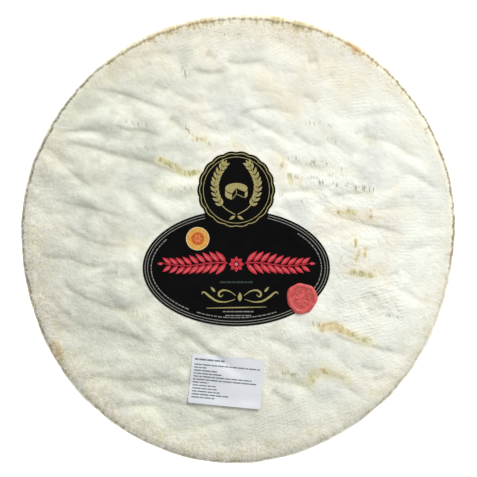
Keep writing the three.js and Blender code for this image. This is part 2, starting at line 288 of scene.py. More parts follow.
def near(x, y, path, reach):
    """The points near a path: which they are, how far to its left, and how far along it as a share."""
    low, high = path.min(0) - reach, path.max(0) + reach
    index = np.flatnonzero((x > low[0]) & (x < high[0]) & (y > low[1]) & (y < high[1]))
    px, py = x[index], y[index]
    nearest, side, share = np.full(index.shape, np.inf), np.zeros(index.shape), np.zeros(index.shape)
    for i, ((ax, ay), (bx, by)) in enumerate(zip(path, path[1:])):
        ex, ey = bx - ax, by - ay
        t = np.clip(((px - ax) * ex + (py - ay) * ey) / (ex * ex + ey * ey), 0, 1)
        dx, dy = px - ax - t * ex, py - ay - t * ey
        distance = np.hypot(dx, dy)
        closer = distance < nearest
        side = np.where(closer, np.where(ex * dy > ey * dx, distance, -distance), side)
        share = np.where(closer, (i + t) / (len(path) - 1), share)
        nearest = np.minimum(nearest, distance)
    return index, side, share


def crease_profile(side, depth):
    """The slope above a crease, its gentler bank below and the narrow cut at its bottom."""
    slope = CREASE_SLOPE[0] + CREASE_SLOPE[1] * depth
    width = np.where(side > 0, slope, CREASE_BANK * slope)
    soft = np.exp(-((np.abs(side) / width) ** CREASE_SHARPNESS))
    core = np.exp(-((side / CREASE_CORE[0]) ** 2))
    return depth * ((1 - CREASE_CORE[1]) * soft + CREASE_CORE[1] * core)


def line_profile(side, depth):
    return (depth / MM) ** 1.5 * np.exp(-(((side - CREASE_LINE / 2) / CREASE_LINE) ** 2))


def all_creases(x, y, profile=crease_profile):
    """A profile added up over all creases."""
    total = np.zeros_like(x)
    for depth, points in CREASES:
        path = curve_through(points, 4) * MM
        reach = 2.5 * CREASE_BANK * (CREASE_SLOPE[0] + CREASE_SLOPE[1] * depth * MM)
        index, side, share = near(x, y, path, reach)
        faded = smoothstep(share, 0, CREASE_FADE) * smoothstep(1 - share, 0, CREASE_FADE)
        total[index] += faded * profile(side, depth * MM)
    return total


def top_height(x, y):
    """The top's height without its finer dents. The label and the sticker lie on this."""
    from_rim = outline_radius(np.arctan2(y, x)) - np.hypot(x, y)
    at_rim = 1 - smoothstep(from_rim, SHOULDER_WIDTH, SHOULDER_WIDTH + RIM_REACH)
    pressed = PRESSED_FLAT * smoothstep(inside_label(x, y), -PRESSED_MARGIN, 2 * MM)
    wrinkles = (pillows(x, y) - all_creases(x, y)) * (1 - pressed) * (1 - FLATTER_RIM * at_rim)
    dish = DISH * (1 - (np.hypot(x, y) / MEAN_RADIUS) ** 2)
    return HEIGHT - dish + wrinkles


def dents(x, y):
    """Puffs with small valleys between them, which run the way of the folds and leave out the papers."""
    along, across = turned(x, y, PILLOW_HEADING)
    total = 0
    for layer, (length, width, height, octaves) in enumerate(DENTS):
        field = noise_field(along * width / length, across, width, octaves, layer * 7.3)
        total = total + height * (PUFF_SWELL * np.hypot(field, PUFF_ROUNDING) - PUFF_MEAN)
    strength = between(smoothstep(x, -60 * MM, 110 * MM), PUFF_SHARES)
    strength = strength * (1 - FLATTER_PUFFS * smoothstep(np.abs(y + 15 * MM), 70 * MM, 130 * MM))
    covered = smoothstep(np.maximum(inside_label(x, y), inside_sticker(x, y)), -5 * MM, 0)
    return total * strength * (1 - covered)


def rind_height(x, y):
    return top_height(x, y) + dents(x, y)


def square_to_disc(u, v):
    """How far out and at what angle a point of a square's grid lies in a disc's."""
    quarter = math.pi / 4
    wide = np.abs(u) > np.abs(v)
    safe_u, safe_v = np.where(u == 0, 1e-9, u), np.where(v == 0, 1e-9, v)
    side_angle = quarter * v / safe_u + np.where(u < 0, math.pi, 0)
    top_angle = 2 * quarter - quarter * u / safe_v + np.where(v < 0, math.pi, 0)
    return np.maximum(np.abs(u), np.abs(v)), np.where(wide, side_angle, top_angle)


def side_section(down):
    """How far in from the outline, and how far towards the top or the foot, a share of the way down is."""
    if down < SHOULDER_SHARE:
        turn = math.pi / 2 * down / SHOULDER_SHARE
        inset = SHOULDER_WIDTH * (1 - math.sin(turn) ** (2 / SHOULDER_SQUARENESS))
        return inset, math.cos(turn) ** (2 / SHOULDER_SQUARENESS), True
    turn = math.pi / 2 * (down - SHOULDER_SHARE) / (1 - SHOULDER_SHARE)
    inset = FOOT_WIDTH * (1 - max(0.0, math.cos(turn)) ** (2 / FOOT_SQUARENESS))
    return inset, math.sin(turn), False


# Making objects


def coordinates(vertices):
    return np.array([vertex.co for vertex in vertices])


def move(vertices, place):
    """Moves vertices to where a function of their coordinates says."""
    points = np.stack(place(*coordinates(vertices).T), 1)
    for vertex, point in zip(vertices, points.tolist()):
        vertex.co = point


def made_of(geometry, kind):
    return [item for item in geometry if isinstance(item, kind)]


def new_object(name, bm, material, smooth_angle=None):
    """Turns a bmesh into an object of the wheel, with smooth faces and a material."""
    bmesh.ops.recalc_face_normals(bm, faces=bm.faces)
    mesh = bpy.data.meshes.new(name)
    bm.to_mesh(mesh)
    bm.free()
    mesh.shade_smooth()
    if smooth_angle is not None:
        mesh.set_sharp_from_angle(angle=math.radians(smooth_angle))
    mesh.materials.append(material)
    made = bpy.data.objects.new(name, mesh)
    bpy.context.scene.collection.objects.link(made)
    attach(made, ROOT)
    return made


def flat_face(bm, outline):
    """One flat face with the given outline."""
    ring = bmesh.ops.create_circle(bm, cap_ends=True, segments=len(outline), radius=1.0)["verts"]
    for vertex, (x, y) in zip(ring, outline):
        vertex.co = (x, y, 0.0)


def flat_band(bm, outer, inner):
    """A flat band between two closed outlines with as many points each."""
    ring = bmesh.ops.create_circle(bm, cap_ends=False, segments=len(outer), radius=1.0)["verts"]
    for vertex, (x, y) in zip(ring, outer):
        vertex.co = (x, y, 0.0)
    edges = {edge for vertex in ring for edge in vertex.link_edges}
    grown = bmesh.ops.extrude_edge_only(bm, edges=list(edges))["geom"]
    places = {tuple(round(c, 7) for c in vertex.co): i for i, vertex in enumerate(ring)}
    for vertex in made_of(grown, bmesh.types.BMVert):
        x, y = inner[places[tuple(round(c, 7) for c in vertex.co)]]
        vertex.co = (x, y, 0.0)


def flat_stroke(bm, path, widths):
    """A flat pen stroke along a path, as wide at each point as it says."""
    path = np.asarray(path)
    along = np.gradient(path, axis=0)
    across = np.stack((-along[:, 1], along[:, 0]), 1) / np.linalg.norm(along, axis=1, keepdims=True)
    left = path + across * np.asarray(widths)[:, None] / 2
    right = path - across * np.asarray(widths)[:, None] / 2
    ends = [bm.verts.new((*left[0], 0.0)), bm.verts.new((*right[0], 0.0))]
    edge = bm.edges.new(ends)
    for a, b in zip(left[1:], right[1:]):
        grown = bmesh.ops.extrude_edge_only(bm, edges=[edge])["geom"]
        first, second = made_of(grown, bmesh.types.BMVert)
        if (first.co - ends[0].co).length > (first.co - ends[1].co).length:
            first, second = second, first
        first.co, second.co = (*a, 0.0), (*b, 0.0)
        ends = [first, second]
        edge = bm.edges.get(ends)


def cut_in_cells(bm, cell):
    """Cuts flat faces along a grid, so that they can follow the folds."""
    points = coordinates(bm.verts)
    for axis in (0, 1):
        normal = Vector((1 - axis, axis, 0))
        low, high = points[:, axis].min(), points[:, axis].max()
        for place in np.arange(low + cell / 2, high, cell):
            geometry = bm.verts[:] + bm.edges[:] + bm.faces[:]
            bmesh.ops.bisect_plane(bm, geom=geometry, plane_co=normal * place, plane_no=normal, dist=1e-8)


def drape(bm, surface, lift, thickness, cell):
    """Lays flat faces on a surface, lifted off it, and gives them their thickness."""
    cut_in_cells(bm, cell)
    grown = bmesh.ops.extrude_face_region(bm, geom=bm.faces[:])["geom"]
    bmesh.ops.translate(bm, verts=made_of(grown, bmesh.types.BMVert), vec=(0, 0, thickness))
    move(bm.verts, lambda x, y, z: (x, y, z + surface(x, y) + lift))


# Materials


def new_material(name):
    material = bpy.data.materials.new(name)
    material.use_nodes = True
    tree = material.node_tree
    return material, tree, tree.nodes["Principled BSDF"]


class Value:
    """A number, colour or place in a material's nodes. Plain arithmetic on it adds maths nodes."""

    def __init__(self, tree, kind, inputs=None, output=0, **settings):
        node = tree.nodes.new(kind)
        for key, value in settings.items():
            setattr(node, key, value)
        fill(node, inputs or {})
        self.tree, self.socket = tree, node.outputs[output]

    def maths(self, operation, *others):
        return Value(self.tree, "ShaderNodeMath", dict(enumerate((self, *others))), operation=operation)

    def __add__(self, other):
        return self.maths("ADD", other)

    def __sub__(self, other):
        return self.maths("SUBTRACT", other)

    def __mul__(self, other):
        return self.maths("MULTIPLY", other)

    def rise(self, low, high, start=0.0, end=1.0):
        """A smooth rise from start to end as the value goes from low to high."""
        inputs = {"Value": self, "From Min": low, "From Max": high, "To Min": start, "To Max": end}
        return Value(self.tree, "ShaderNodeMapRange", inputs, interpolation_type="SMOOTHSTEP")

    def cloud(self, scale, detail, roughness, distortion=0.0):
        """Cloudy noise around a place."""
        inputs = {"Vector": self, "Scale": scale, "Detail": detail}
        inputs |= {"Roughness": roughness, "Distortion": distortion}
        return Value(self.tree, "ShaderNodeTexNoise", inputs, "Fac")

    def bump(self):
        """A bump from a height in metres."""
        return Value(self.tree, "ShaderNodeBump", {"Height": self, "Strength": 1.0, "Distance": 1.0})


def fill(node, inputs):
    """Links values to a node's inputs, and sets the others."""
    for key, value in inputs.items():
        if isinstance(value, Value):
            value.tree.links.new(value.socket, node.inputs[key])
        else:
            node.inputs[key].default_value = value


def place_on_piece(tree, scale=(1, 1, 1)):
    """Object coordinates, scaled."""
    source = Value(tree, "ShaderNodeTexCoord", output="Object")
    return Value(tree, "ShaderNodeMapping", {"Vector": source, "Scale": scale}, vector_type="POINT")


def stored(tree, name):
    return Value(tree, "ShaderNodeAttribute", output="Fac", attribute_name=name)


def opaque(colour, strength=1.0, extra=0.0):
    return (*(min(1.0, strength * c + extra) for c in colour[:3]), 1.0)


def tint(code):
    return opaque(linear(code))


def blend(factor, first, second, blend_type="MIX"):
    """Mixes two colours."""
    inputs = {MIX_FACTOR: factor, MIX_A: first, MIX_B: second}
    tree = next(value.tree for value in inputs.values() if isinstance(value, Value))
    return Value(tree, "ShaderNodeMix", inputs, MIX_RESULT, data_type="RGBA", blend_type=blend_type)


# What a user would change


class BrieWheelSettings(bpy.types.PropertyGroup):
    cells: bpy.props.IntProperty(
        name="Cells", description="Cells across the top of the wheel", default=268, min=40, max=280
    )
    side_rows: bpy.props.IntProperty(
        name="Side rows", description="Rows of faces down the side", default=17, min=8, max=20
    )
    rind_colour: bpy.props.FloatVectorProperty(
        name="Rind", description="Colour of the thick white mould", default=linear("#f4f6ec"),
        subtype="COLOR",
    )
    # Also the colour of the painted shade in the hollows and over the left and lower parts of the top
    shade_colour: bpy.props.FloatVectorProperty(
        name="Thin mould", description="Colour of the mould where it is thin and damp, in the folds",
        default=linear("#d3d6c6"), subtype="COLOR",
    )
    ochre_colour: bpy.props.FloatVectorProperty(
        name="Ochre", description="Colour of the bare patches of rind", default=linear("#d9bb86"),
        subtype="COLOR",
    )
    rim_colour: bpy.props.FloatVectorProperty(
        name="Rim stain", description="Colour of the browned edge", default=linear("#a87a48"),
        subtype="COLOR",
    )


class BrieLabelSettings(bpy.types.PropertyGroup):
    paper_colour: bpy.props.FloatVectorProperty(
        name="Paper", description="Colour of the printed black", default=linear("#09090a"), subtype="COLOR"
    )
    gold_colour: bpy.props.FloatVectorProperty(
        name="Gold", description="Colour of the gold print", default=linear("#a89e68"), subtype="COLOR"
    )
    red_colour: bpy.props.FloatVectorProperty(
        name="Red", description="Colour of the red print", default=linear("#c83440"), subtype="COLOR"
    )
    amber_colour: bpy.props.FloatVectorProperty(
        name="Amber", description="Colour of the roundel", default=linear("#dba24f"), subtype="COLOR"
    )
    leaf_pairs: bpy.props.IntProperty(
        name="Leaf pairs", description="Pairs of leaves on each side of the red frieze", default=9, min=3,
        max=10,
    )
    grain_pairs: bpy.props.IntProperty(
        name="Grain pairs", description="Pairs of grains on each ear of the crest's wreath", default=10,
        min=4, max=14,
    )


class BrieSealSettings(bpy.types.PropertyGroup):
    radius: bpy.props.FloatProperty(
        name="Radius", description="Mean radius of the wax seal", default=12.6 * MM, unit="LENGTH"
    )
    thickness: bpy.props.FloatProperty(
        name="Thickness", description="Thickness of the wax at its border", default=1.5 * MM, unit="LENGTH"
    )
    drip: bpy.props.FloatProperty(
        name="Unevenness", description="How far the wax's outline is from round", default=0.75 * MM,
        unit="LENGTH",
    )
    wax_colour: bpy.props.FloatVectorProperty(
        name="Wax", description="Colour of the wax", default=linear("#c94f4c"), subtype="COLOR"
    )


class BrieStickerSettings(bpy.types.PropertyGroup):
    paper_colour: bpy.props.FloatVectorProperty(
        name="Paper", description="Colour of the sticker", default=linear("#dce0e6"), subtype="COLOR"
    )
    ink_colour: bpy.props.FloatVectorProperty(
        name="Ink", description="Colour of its rows of print", default=linear("#797e87"), subtype="COLOR"
    )
    curl: bpy.props.FloatProperty(
        name="Curl", description="How far its lower edge stands off the rind", default=0.9 * MM,
        unit="LENGTH",
    )


class BrieStageSettings(bpy.types.PropertyGroup):
    camera_distance: bpy.props.FloatProperty(
        name="Camera distance", description="From the wheel's widest line up to the camera", default=2.6,
        unit="LENGTH",
    )
    key_power: bpy.props.FloatProperty(
        name="Key light", description="Power of the large light behind the crest", default=285.0,
        unit="POWER",
    )
    sky_strength: bpy.props.FloatProperty(
        name="Sky", description="Strength of the even light from all sides", default=0.55
    )


# The wheel


def wheel_top(bm, settings):
    """A grid of cells moved to a disc and raised to the rind's height."""

    def place(u, v, _):
        reach, angle = square_to_disc(u, v)
        angle = angle + math.radians(PILLOW_HEADING)
        radius = reach * (outline_radius(angle) - SHOULDER_WIDTH)
        x, y = radius * np.cos(angle), radius * np.sin(angle)
        return x, y, rind_height(x, y)

    bmesh.ops.create_grid(bm, x_segments=settings.cells, y_segments=settings.cells, size=1.0)
    move(bm.verts, place)


def side_dents(angle, height):
    """Small dents in the side, which run around it."""
    x, y = MEAN_RADIUS * np.cos(angle), MEAN_RADIUS * np.sin(angle)
    points = zip(*((c / size).tolist() for c, size in zip((x, y, height), SIDE_DENT_SIZE)))
    return SIDE_DENT_DEPTH * np.array([noise.fractal(point, 0.9, 2.0, 3) for point in points])


def wheel_side(bm, settings):
    """Rows of faces from the top's edge down over the shoulder to the foot."""
    rim = [edge for edge in bm.edges if edge.is_boundary]
    for row in range(1, settings.side_rows + 1):
        down = row / settings.side_rows
        inset, share, above = side_section(down)
        w = 1 - 2 * down

        def place(x, y, _):
            angle = np.arctan2(y, x)
            outline = outline_radius(angle)
            cos, sin = np.cos(angle), np.sin(angle)
            if above:
                edge = outline - SHOULDER_WIDTH
                height = WIDEST_LINE + (rind_height(edge * cos, edge * sin) - WIDEST_LINE) * share
            else:
                height = np.full_like(angle, max(0.0, WIDEST_LINE - (WIDEST_LINE + BELOW_BASE) * share))
            ripple = sum(np.sin(count * angle + lean * w) for count, lean in SIDE_RIPPLES)
            dented = side_dents(angle, height) * math.sin(math.pi * min(1, down * 1.15))
            radius = outline - inset + SIDE_RIPPLE * ripple * (1 - w * w) + dented
            return radius * cos, radius * sin, height

        grown = bmesh.ops.extrude_edge_only(bm, edges=rim)["geom"]
        move(made_of(grown, bmesh.types.BMVert), place)
        rim = [edge for edge in made_of(grown, bmesh.types.BMEdge) if edge.is_boundary]
    bmesh.ops.edgeloop_fill(bm, edges=rim)


# Pale yellow patches where the mould is thin: from, to, width and strength, in millimetres
CREAM_PATCHES = (
    ((-66, 65), (-50, 57), 7, 0.7), ((-50, 57), (-29, 52), 7, 0.7), ((-40, 87), (-24, 79), 9, 0.4),
    ((-5, 79), (9, 67), 9, 0.4), ((22, 129), (44, 106), 14, 0.8), ((70, 144), (88, 126), 13, 0.6),
    ((34, 70), (38, 55), 7, 0.5), ((42, 47), (58, 39), 9, 0.4), ((54, 95), (78, 84), 10, 0.2),
    ((56, 60), (88, 54), 9, 0.3), ((96, 40), (112, 36), 7, 0.3), ((78, 23), (114, 16), 10, 0.7),
    ((95, 0), (97, -18), 9, 0.6), ((104, -8), (106, -18), 7, 0.5), ((90, -25), (116, -28), 11, 0.7),
    ((106, 83), (115, 77), 7, 0.4), ((67, -71), (84, -74), 9, 0.8), ((84, -74), (108, -86), 9, 0.8),
    ((57, -118), (70, -107), 10, 0.7), ((70, -107), (90, -116), 9, 0.7), ((34, -107), (48, -113), 7, 0.4),
    ((-90, -2), (-72, -8), 9, 0.4), ((-64, 45), (-31, 38), 9, 0.3), ((-92, -60), (-74, -64), 9, 0.2),
    ((60, -66), (70, -72), 7, 0.3),
)
# Bare ochre marks: path, width, strength, and redness from olive to tan
OCHRE_MARKS = (
    (((-63, 64.5), (-56, 61.5), (-51, 58), (-46, 54.5), (-40, 53.7), (-33, 54.7)), 4.6, 1.05, 0.05),
    (((82, 21.5), (86, 21.5)), 3.2, 0.8, 0.4), (((90, 22.5), (95, 21.5)), 4.4, 0.95, 0.1),
    (((109.3, 23.5), (109, 13.5)), 2.8, 0.65, 1), (((86, 19), (106, 16.5)), 4.9, 0.35, 0.6),
    (((96.5, -1), (96.3, -6)), 2.9, 0.8, 0.2), (((99.5, -9), (97, -18)), 2.6, 0.75, 0.6),
    (((104.8, -8), (104.5, -14)), 3.0, 0.75, 0.75), (((85, -15), (83, -20)), 1.8, 0.4, 0.3),
    (((94, -27.5), (101, -29), (108.5, -30)), 5.1, 0.8, 0.2), (((112, -26), (112.5, -31)), 2.9, 0.5, 0.1),
    (((69, -73), (74, -72), (80, -71.3), (84, -74.5)), 6.0, 1.0, 0.5),
    (((84, -74.5), (92.5, -78.3)), 5.0, 0.98, 0.5),
    (((92.5, -78.3), (98.6, -81), (107, -83.5)), 5.2, 0.62, 0.1),
    (((60, -110), (60.3, -116.5)), 6.0, 0.72, 0), (((65, -108.5), (64.5, -113)), 4.0, 0.7, 0.2),
    (((68, -108), (74, -109.5)), 4.4, 0.8, 0.35),
    (((74, -110), (80, -111.5), (86, -114.5)), 4.4, 0.56, 0.2),
    (((36, -110), (47, -111.5)), 2.6, 0.35, 0.4), (((-37, 82), (-26.5, 81)), 3.9, 0.5, 0.4),
    (((-4, 77), (5, 75)), 4.9, 0.3, 0.6), (((1, 75), (2, 68)), 2.9, 0.4, 0.6),
    (((37.5, 66), (35, 58)), 3.2, 0.5, 0.4), (((42.5, 52), (43.5, 46)), 3.6, 0.75, 0.1),
    (((50.5, 50), (52.2, 44)), 2.4, 0.6, 0.4), (((-150.5, -87), (-147, -91), (-146.5, -97)), 6.0, 1.6, 0.5),
    (((50, 169), (40, 173)), 2.9, 0.5, 0.8),
)
# Broad patches of painted shade, and of painted light where the levels are below zero: path, width, and sRGB
# levels taken off
SHADES = (
    (((-150, 62), (-112, 8)), 48, 7), (((-153, -28), (-150, -62)), 36, 15),
    (((-90, -114), (-88, -119)), 27, 16), (((62, -94), (95, -98), (90, -118)), 38, 10),
    (((2, -152), (36, -153)), 36, 10), (((88, -27), (92, -35)), 30, 10), (((-30, 118), (30, 98)), 40, 5),
    (((-60, 148), (0, 152), (30, 150)), 32, -2), (((150, -26), (149, -40)), 28, -6),
    (((-88, -92), (-62, -122), (-60, -148)), 32, -8), (((91, -77.5), (107, -83.5)), 10, -9),
    (((-162, -52), (-160, -68)), 17, -10),
)
# Rows of small dark ticks from the mat: from, to, height and strength
TICK_ROWS = (
    ((40, 66), (50, 65.5), 3.0, 0.8), ((56.5, 62.4), (73, 62), 3.0, 0.9), ((42, 51.5), (54, 50), 3.6, 0.7),
    ((60, 50), (65, 48), 3.0, 0.8), ((67, 46), (80, 44), 3.6, 1.0), ((72, 54), (76, 52.5), 3.0, 0.9),
    ((83, 46), (93, 43), 3.0, 0.8), ((84, 57), (87.5, 56.5), 2.6, 1.0), ((96, 42), (113, 39.5), 3.8, 0.9),
    ((34, 36), (37.5, 34.5), 3.0, 0.8), ((43, 31), (53, 31), 1.8, 0.9), ((55, 95.5), (78, 92), 3.2, 0.6),
    ((74, 81), (79, 79), 3.0, 0.6), ((35, 60), (40, 59), 3.0, 0.5), ((-91, 96), (-76, 93), 3.6, 0.6),
    ((-43, 90), (-40, 85), 4.4, 1.0), ((-37, 82), (-26, 81.5), 3.6, 0.7), ((-26, 77), (-19, 79), 3.0, 0.6),
    ((-76, 75), (-66, 66), 3.0, 0.7), ((-57, 41), (-38, 40), 4.6, 0.5), ((-88, -60), (-74, -65), 4.0, 0.4),
    ((-44, 140), (-42, 134), 5.0, 0.8), ((-12, 168), (4, 167), 2.0, 0.7), ((31, -76), (41, -78), 3.2, 0.5),
    ((61, -70), (68, -71), 3.2, 0.6), ((35, -110.5), (48, -111.5), 3.2, 0.8),
    ((91.5, -105.7), (94, -105.7), 2.4, 1.0), ((121, -63), (133, -65), 2.4, 0.7),
)
# The rim by its heading: its dark line's strength and inset, the line being partly stain and partly painted
# shade, its stain's strength and redness, its band's strength
RIM_STAIN_AND_SHADE = (
    (0, 0.95, 2.1, 0.2, 0.15, 0.1), (10, 0.8, 2.1, 0.25, 0.15, 0.1), (27, 0.85, 2.6, 0.2, 0.2, 0.1),
    (30, 0.95, 2.7, 0.5, 0.2, 0.1), (33, 0.85, 2.8, 0.2, 0.2, 0.1), (45, 0.78, 3, 0.45, 0.1, 0.15),
    (55, 0.72, 4, 0.8, 0.5, 0.2), (58, 0.75, 4.3, 1.1, 0.8, 0.2), (62, 0.75, 4.5, 0.9, 0.4, 0.25),
    (66, 0.68, 4.8, 0.8, 0.15, 0.3), (75, 0.7, 5.5, 1.2, 0.15, 0.7), (85, 0.68, 5.6, 0.9, 0.1, 0.6),
    (93, 0.7, 4.9, 0.5, 0.04, 0.4), (98, 0.82, 4.7, 1, 0.3, 0.3), (112, 0.72, 4.6, 0.9, 0.3, 0.3),
    (120, 0.7, 4.6, 0.5, 0.12, 0.4), (127, 0.75, 3.6, 0.4, 0.05, 0.4), (135, 0.88, 2.6, 0.2, 0, 0.2),
    (150, 0.98, 3.2, 0.18, 0, 0.2), (165, 0.9, 2.6, 0.18, 0.05, 0.3), (180, 0.9, 2, 0.24, 0.1, 0.4),
    (192, 0.98, 2.1, 0.35, 0.2, 0.5), (205, 0.75, 2.4, 0.3, 0.1, 0.6), (209, 0.75, 2.4, 0.3, 0.1, 0.6),
    (212, 0.78, 2.5, 1.55, 0.9, 0.3), (215, 0.75, 2.5, 0.3, 0.1, 0.6), (222, 0.3, 2.5, 0.36, 0.1, 0.6),
    (232, 0.77, 2.5, 0.24, 0.09, 0.5), (245, 0.6, 1.6, 0.35, 0.06, 0.5), (262, 0.65, 1.9, 0.3, 0.06, 0.5),
    (275, 0.65, 2.4, 0.36, 0.09, 0.5), (285, 0.25, 2.6, 0.3, 0.1, 0.4), (294, 0.4, 2.8, 0.45, 0.4, 0.4),
    (300, 0.18, 2.6, 0.24, 0.1, 0.3), (312, 0.64, 2, 0.18, 0.05, 0.3), (322, 0.3, 2.3, 0.18, 0.1, 0.3),
    (335, 0.22, 2.6, 0.15, 0.05, 0.3), (350, 0.4, 3.2, 0.2, 0.1, 0.2), (355, 0.8, 2.6, 0.4, 0.45, 0.1),
)
RADIAL_STRETCH = 0.75  # the rim's teeth are this much narrower than they are long
# Where the mat's reeds left their lines: centre, reach both ways, heading and strength
MAT_ZONES = (
    ((-25, 160), (50, 22), 23, 0.7), ((35, 160), (32, 22), 33, 0.6), ((105, 128), (48, 34), 6, 0.7),
    ((148, 12), (28, 54), 0, 0.6), ((118, -60), (44, 42), 14, 0.9), ((152, -62), (26, 46), 32, 0.8),
    ((118, -112), (42, 26), 21, 0.8), ((45, -150), (98, 36), 20, 0.8),
)
MAT_PITCH = 2.9 * MM
# Heights in the rind's bump. The last three go from the smooth parts to the coarse ones.
REED_HEIGHT = 0.08 * MM
TICK_DEPTH = 0.25 * MM
VELVET_HEIGHTS = (0.22 * MM, 0.78 * MM)
FUZZ_HEIGHTS = (0.02 * MM, 0.25 * MM)
CRUMPLE_HEIGHTS = (1.0 * MM, 2.0 * MM)
CRUMPLED = (((85, 30), (105, -45)), 55)  # where the mould is crumpled most: path and width


def near_path(x, y, points, width):
    """One along a path, and half of that at half the width away from it."""
    index, side, _ = near(x, y, np.array(points) * MM, width * MM)
    values = np.zeros_like(x)
    values[index] = 1 - smoothstep(np.abs(side), 0.15 * width * MM, 0.95 * width * MM)
    return values


def strongest(x, y, marks):
    """The strength of whichever mark is strongest at each point."""
    return np.max([row[-1] * near_path(x, y, row[:2], row[2]) for row in marks], axis=0)


def mat_values(x, y):
    """How strong the mat's lines are, which fade between two zones, and how many lines across a point is."""
    strengths, phases = [], []
    for (middle_x, middle_y), (reach_x, reach_y), heading, amount in MAT_ZONES:
        dx, dy = x / MM - middle_x, y / MM - middle_y
        strengths.append(amount * (1 - smoothstep(np.hypot(dx / reach_x, dy / reach_y), 0.55, 1.1)))
        phases.append(turned(dx, dy, heading)[1] * MM / MAT_PITCH)
    second, strength = np.sort(strengths, axis=0)[-2:]
    phase = np.choose(np.argmax(strengths, axis=0), phases)
    return smoothstep(strength - second, 0.04, 0.3) * strength, phase


LIGHT_PER_LEVEL = 0.01  # the share of the light that one sRGB level makes near white


def store_rind_values(mesh):
    """Keeps what the rind's material reads."""
    x, y, z = coordinates(mesh.vertices).T
    angle = np.arctan2(y, x)
    inset = outline_radius(angle) - np.hypot(x, y)
    on_top = smoothstep(inset, SHOULDER_WIDTH * 0.7, SHOULDER_WIDTH * 1.3)
    steps = ((CAVITY_REACH, 0), (-CAVITY_REACH, 0), (0, CAVITY_REACH), (0, -CAVITY_REACH))
    neighbours = sum(rind_height(x + dx, y + dy) for dx, dy in steps)
    cavity = (neighbours / 4 - rind_height(x, y)) / (0.5 * MM)
    strength, phase = mat_values(x, y)
    ochre, redness = np.zeros_like(x), np.zeros_like(x)
    for path, width, strength_there, red in OCHRE_MARKS:
        here = strength_there * near_path(x, y, path, width)
        redness = np.where(here > ochre, red, redness)
        ochre = np.maximum(ochre, here)
    levels_off = sum(levels * near_path(x, y, path, width) for path, width, levels in SHADES)
    # Painted shade over the lower middle of the top, taken off the lit side below
    lower_shade = 0.3 * smoothstep(-y, 20 * MM, 110 * MM) * (1 + smoothstep(x, -20 * MM, 40 * MM))
    lower_shade *= 1 - smoothstep(x, 80 * MM, 150 * MM)
    low = smoothstep(-y, -10 * MM, 90 * MM) * (1 - 0.6 * smoothstep(x, 10 * MM, 90 * MM))
    left = smoothstep(-x - 0.5 * y, 60 * MM, 160 * MM)
    values = {
        # Painted shade in the hollows of the relief
        "cavity": np.clip(cavity, -1, 1) * on_top,
        # Painted shade along the bottoms of the creases
        "crease_shade": np.clip(all_creases(x, y, line_profile), 0, 1.5) * on_top,
        "cream": strongest(x, y, CREAM_PATCHES),
        "ochre": ochre,
        "ochre_redness": redness,
        "ticks": strongest(x, y, TICK_ROWS),
        # Painted shade and painted light of the broad patches above, as a gain on the colour
        "brightness": 1 - LIGHT_PER_LEVEL * levels_off,
        "warmth": 0.45 * smoothstep(y, 95 * MM, 150 * MM),
        "inset": np.where(z > WIDEST_LINE, inset, -inset) / MM,
        "mat_strength": strength * on_top,
        "mat_phase": phase,
        "crumpled": near_path(x, y, *CRUMPLED) * on_top,
        # Painted light and shade: lighter to the right and darker to the left as the light falls, partly also
        # thicker mould on the right
        "lit_and_thick_side": smoothstep(x + 0.1 * y, -100 * MM, 70 * MM) - lower_shade,
        "grain": np.maximum(low, left),
    }
    headings, *rim_columns = np.array(RIM_STAIN_AND_SHADE).T
    for name, column in zip(("rim_line", "rim_place", "rim_stain", "rim_redness", "edge_band"), rim_columns):
        values[name] = np.interp(np.degrees(angle) % 360, headings, column, period=360)
    for name, numbers in values.items():
        mesh.attributes.new(name, "FLOAT", "POINT").data.foreach_set("value", numbers.astype(np.float32))
    around = mesh.attributes.new("around", "FLOAT_VECTOR", "POINT")
    places = (MEAN_RADIUS * np.cos(angle), MEAN_RADIUS * np.sin(angle), RADIAL_STRETCH * (inset - z))
    around.data.foreach_set("vector", np.stack(places, 1).astype(np.float32).ravel())


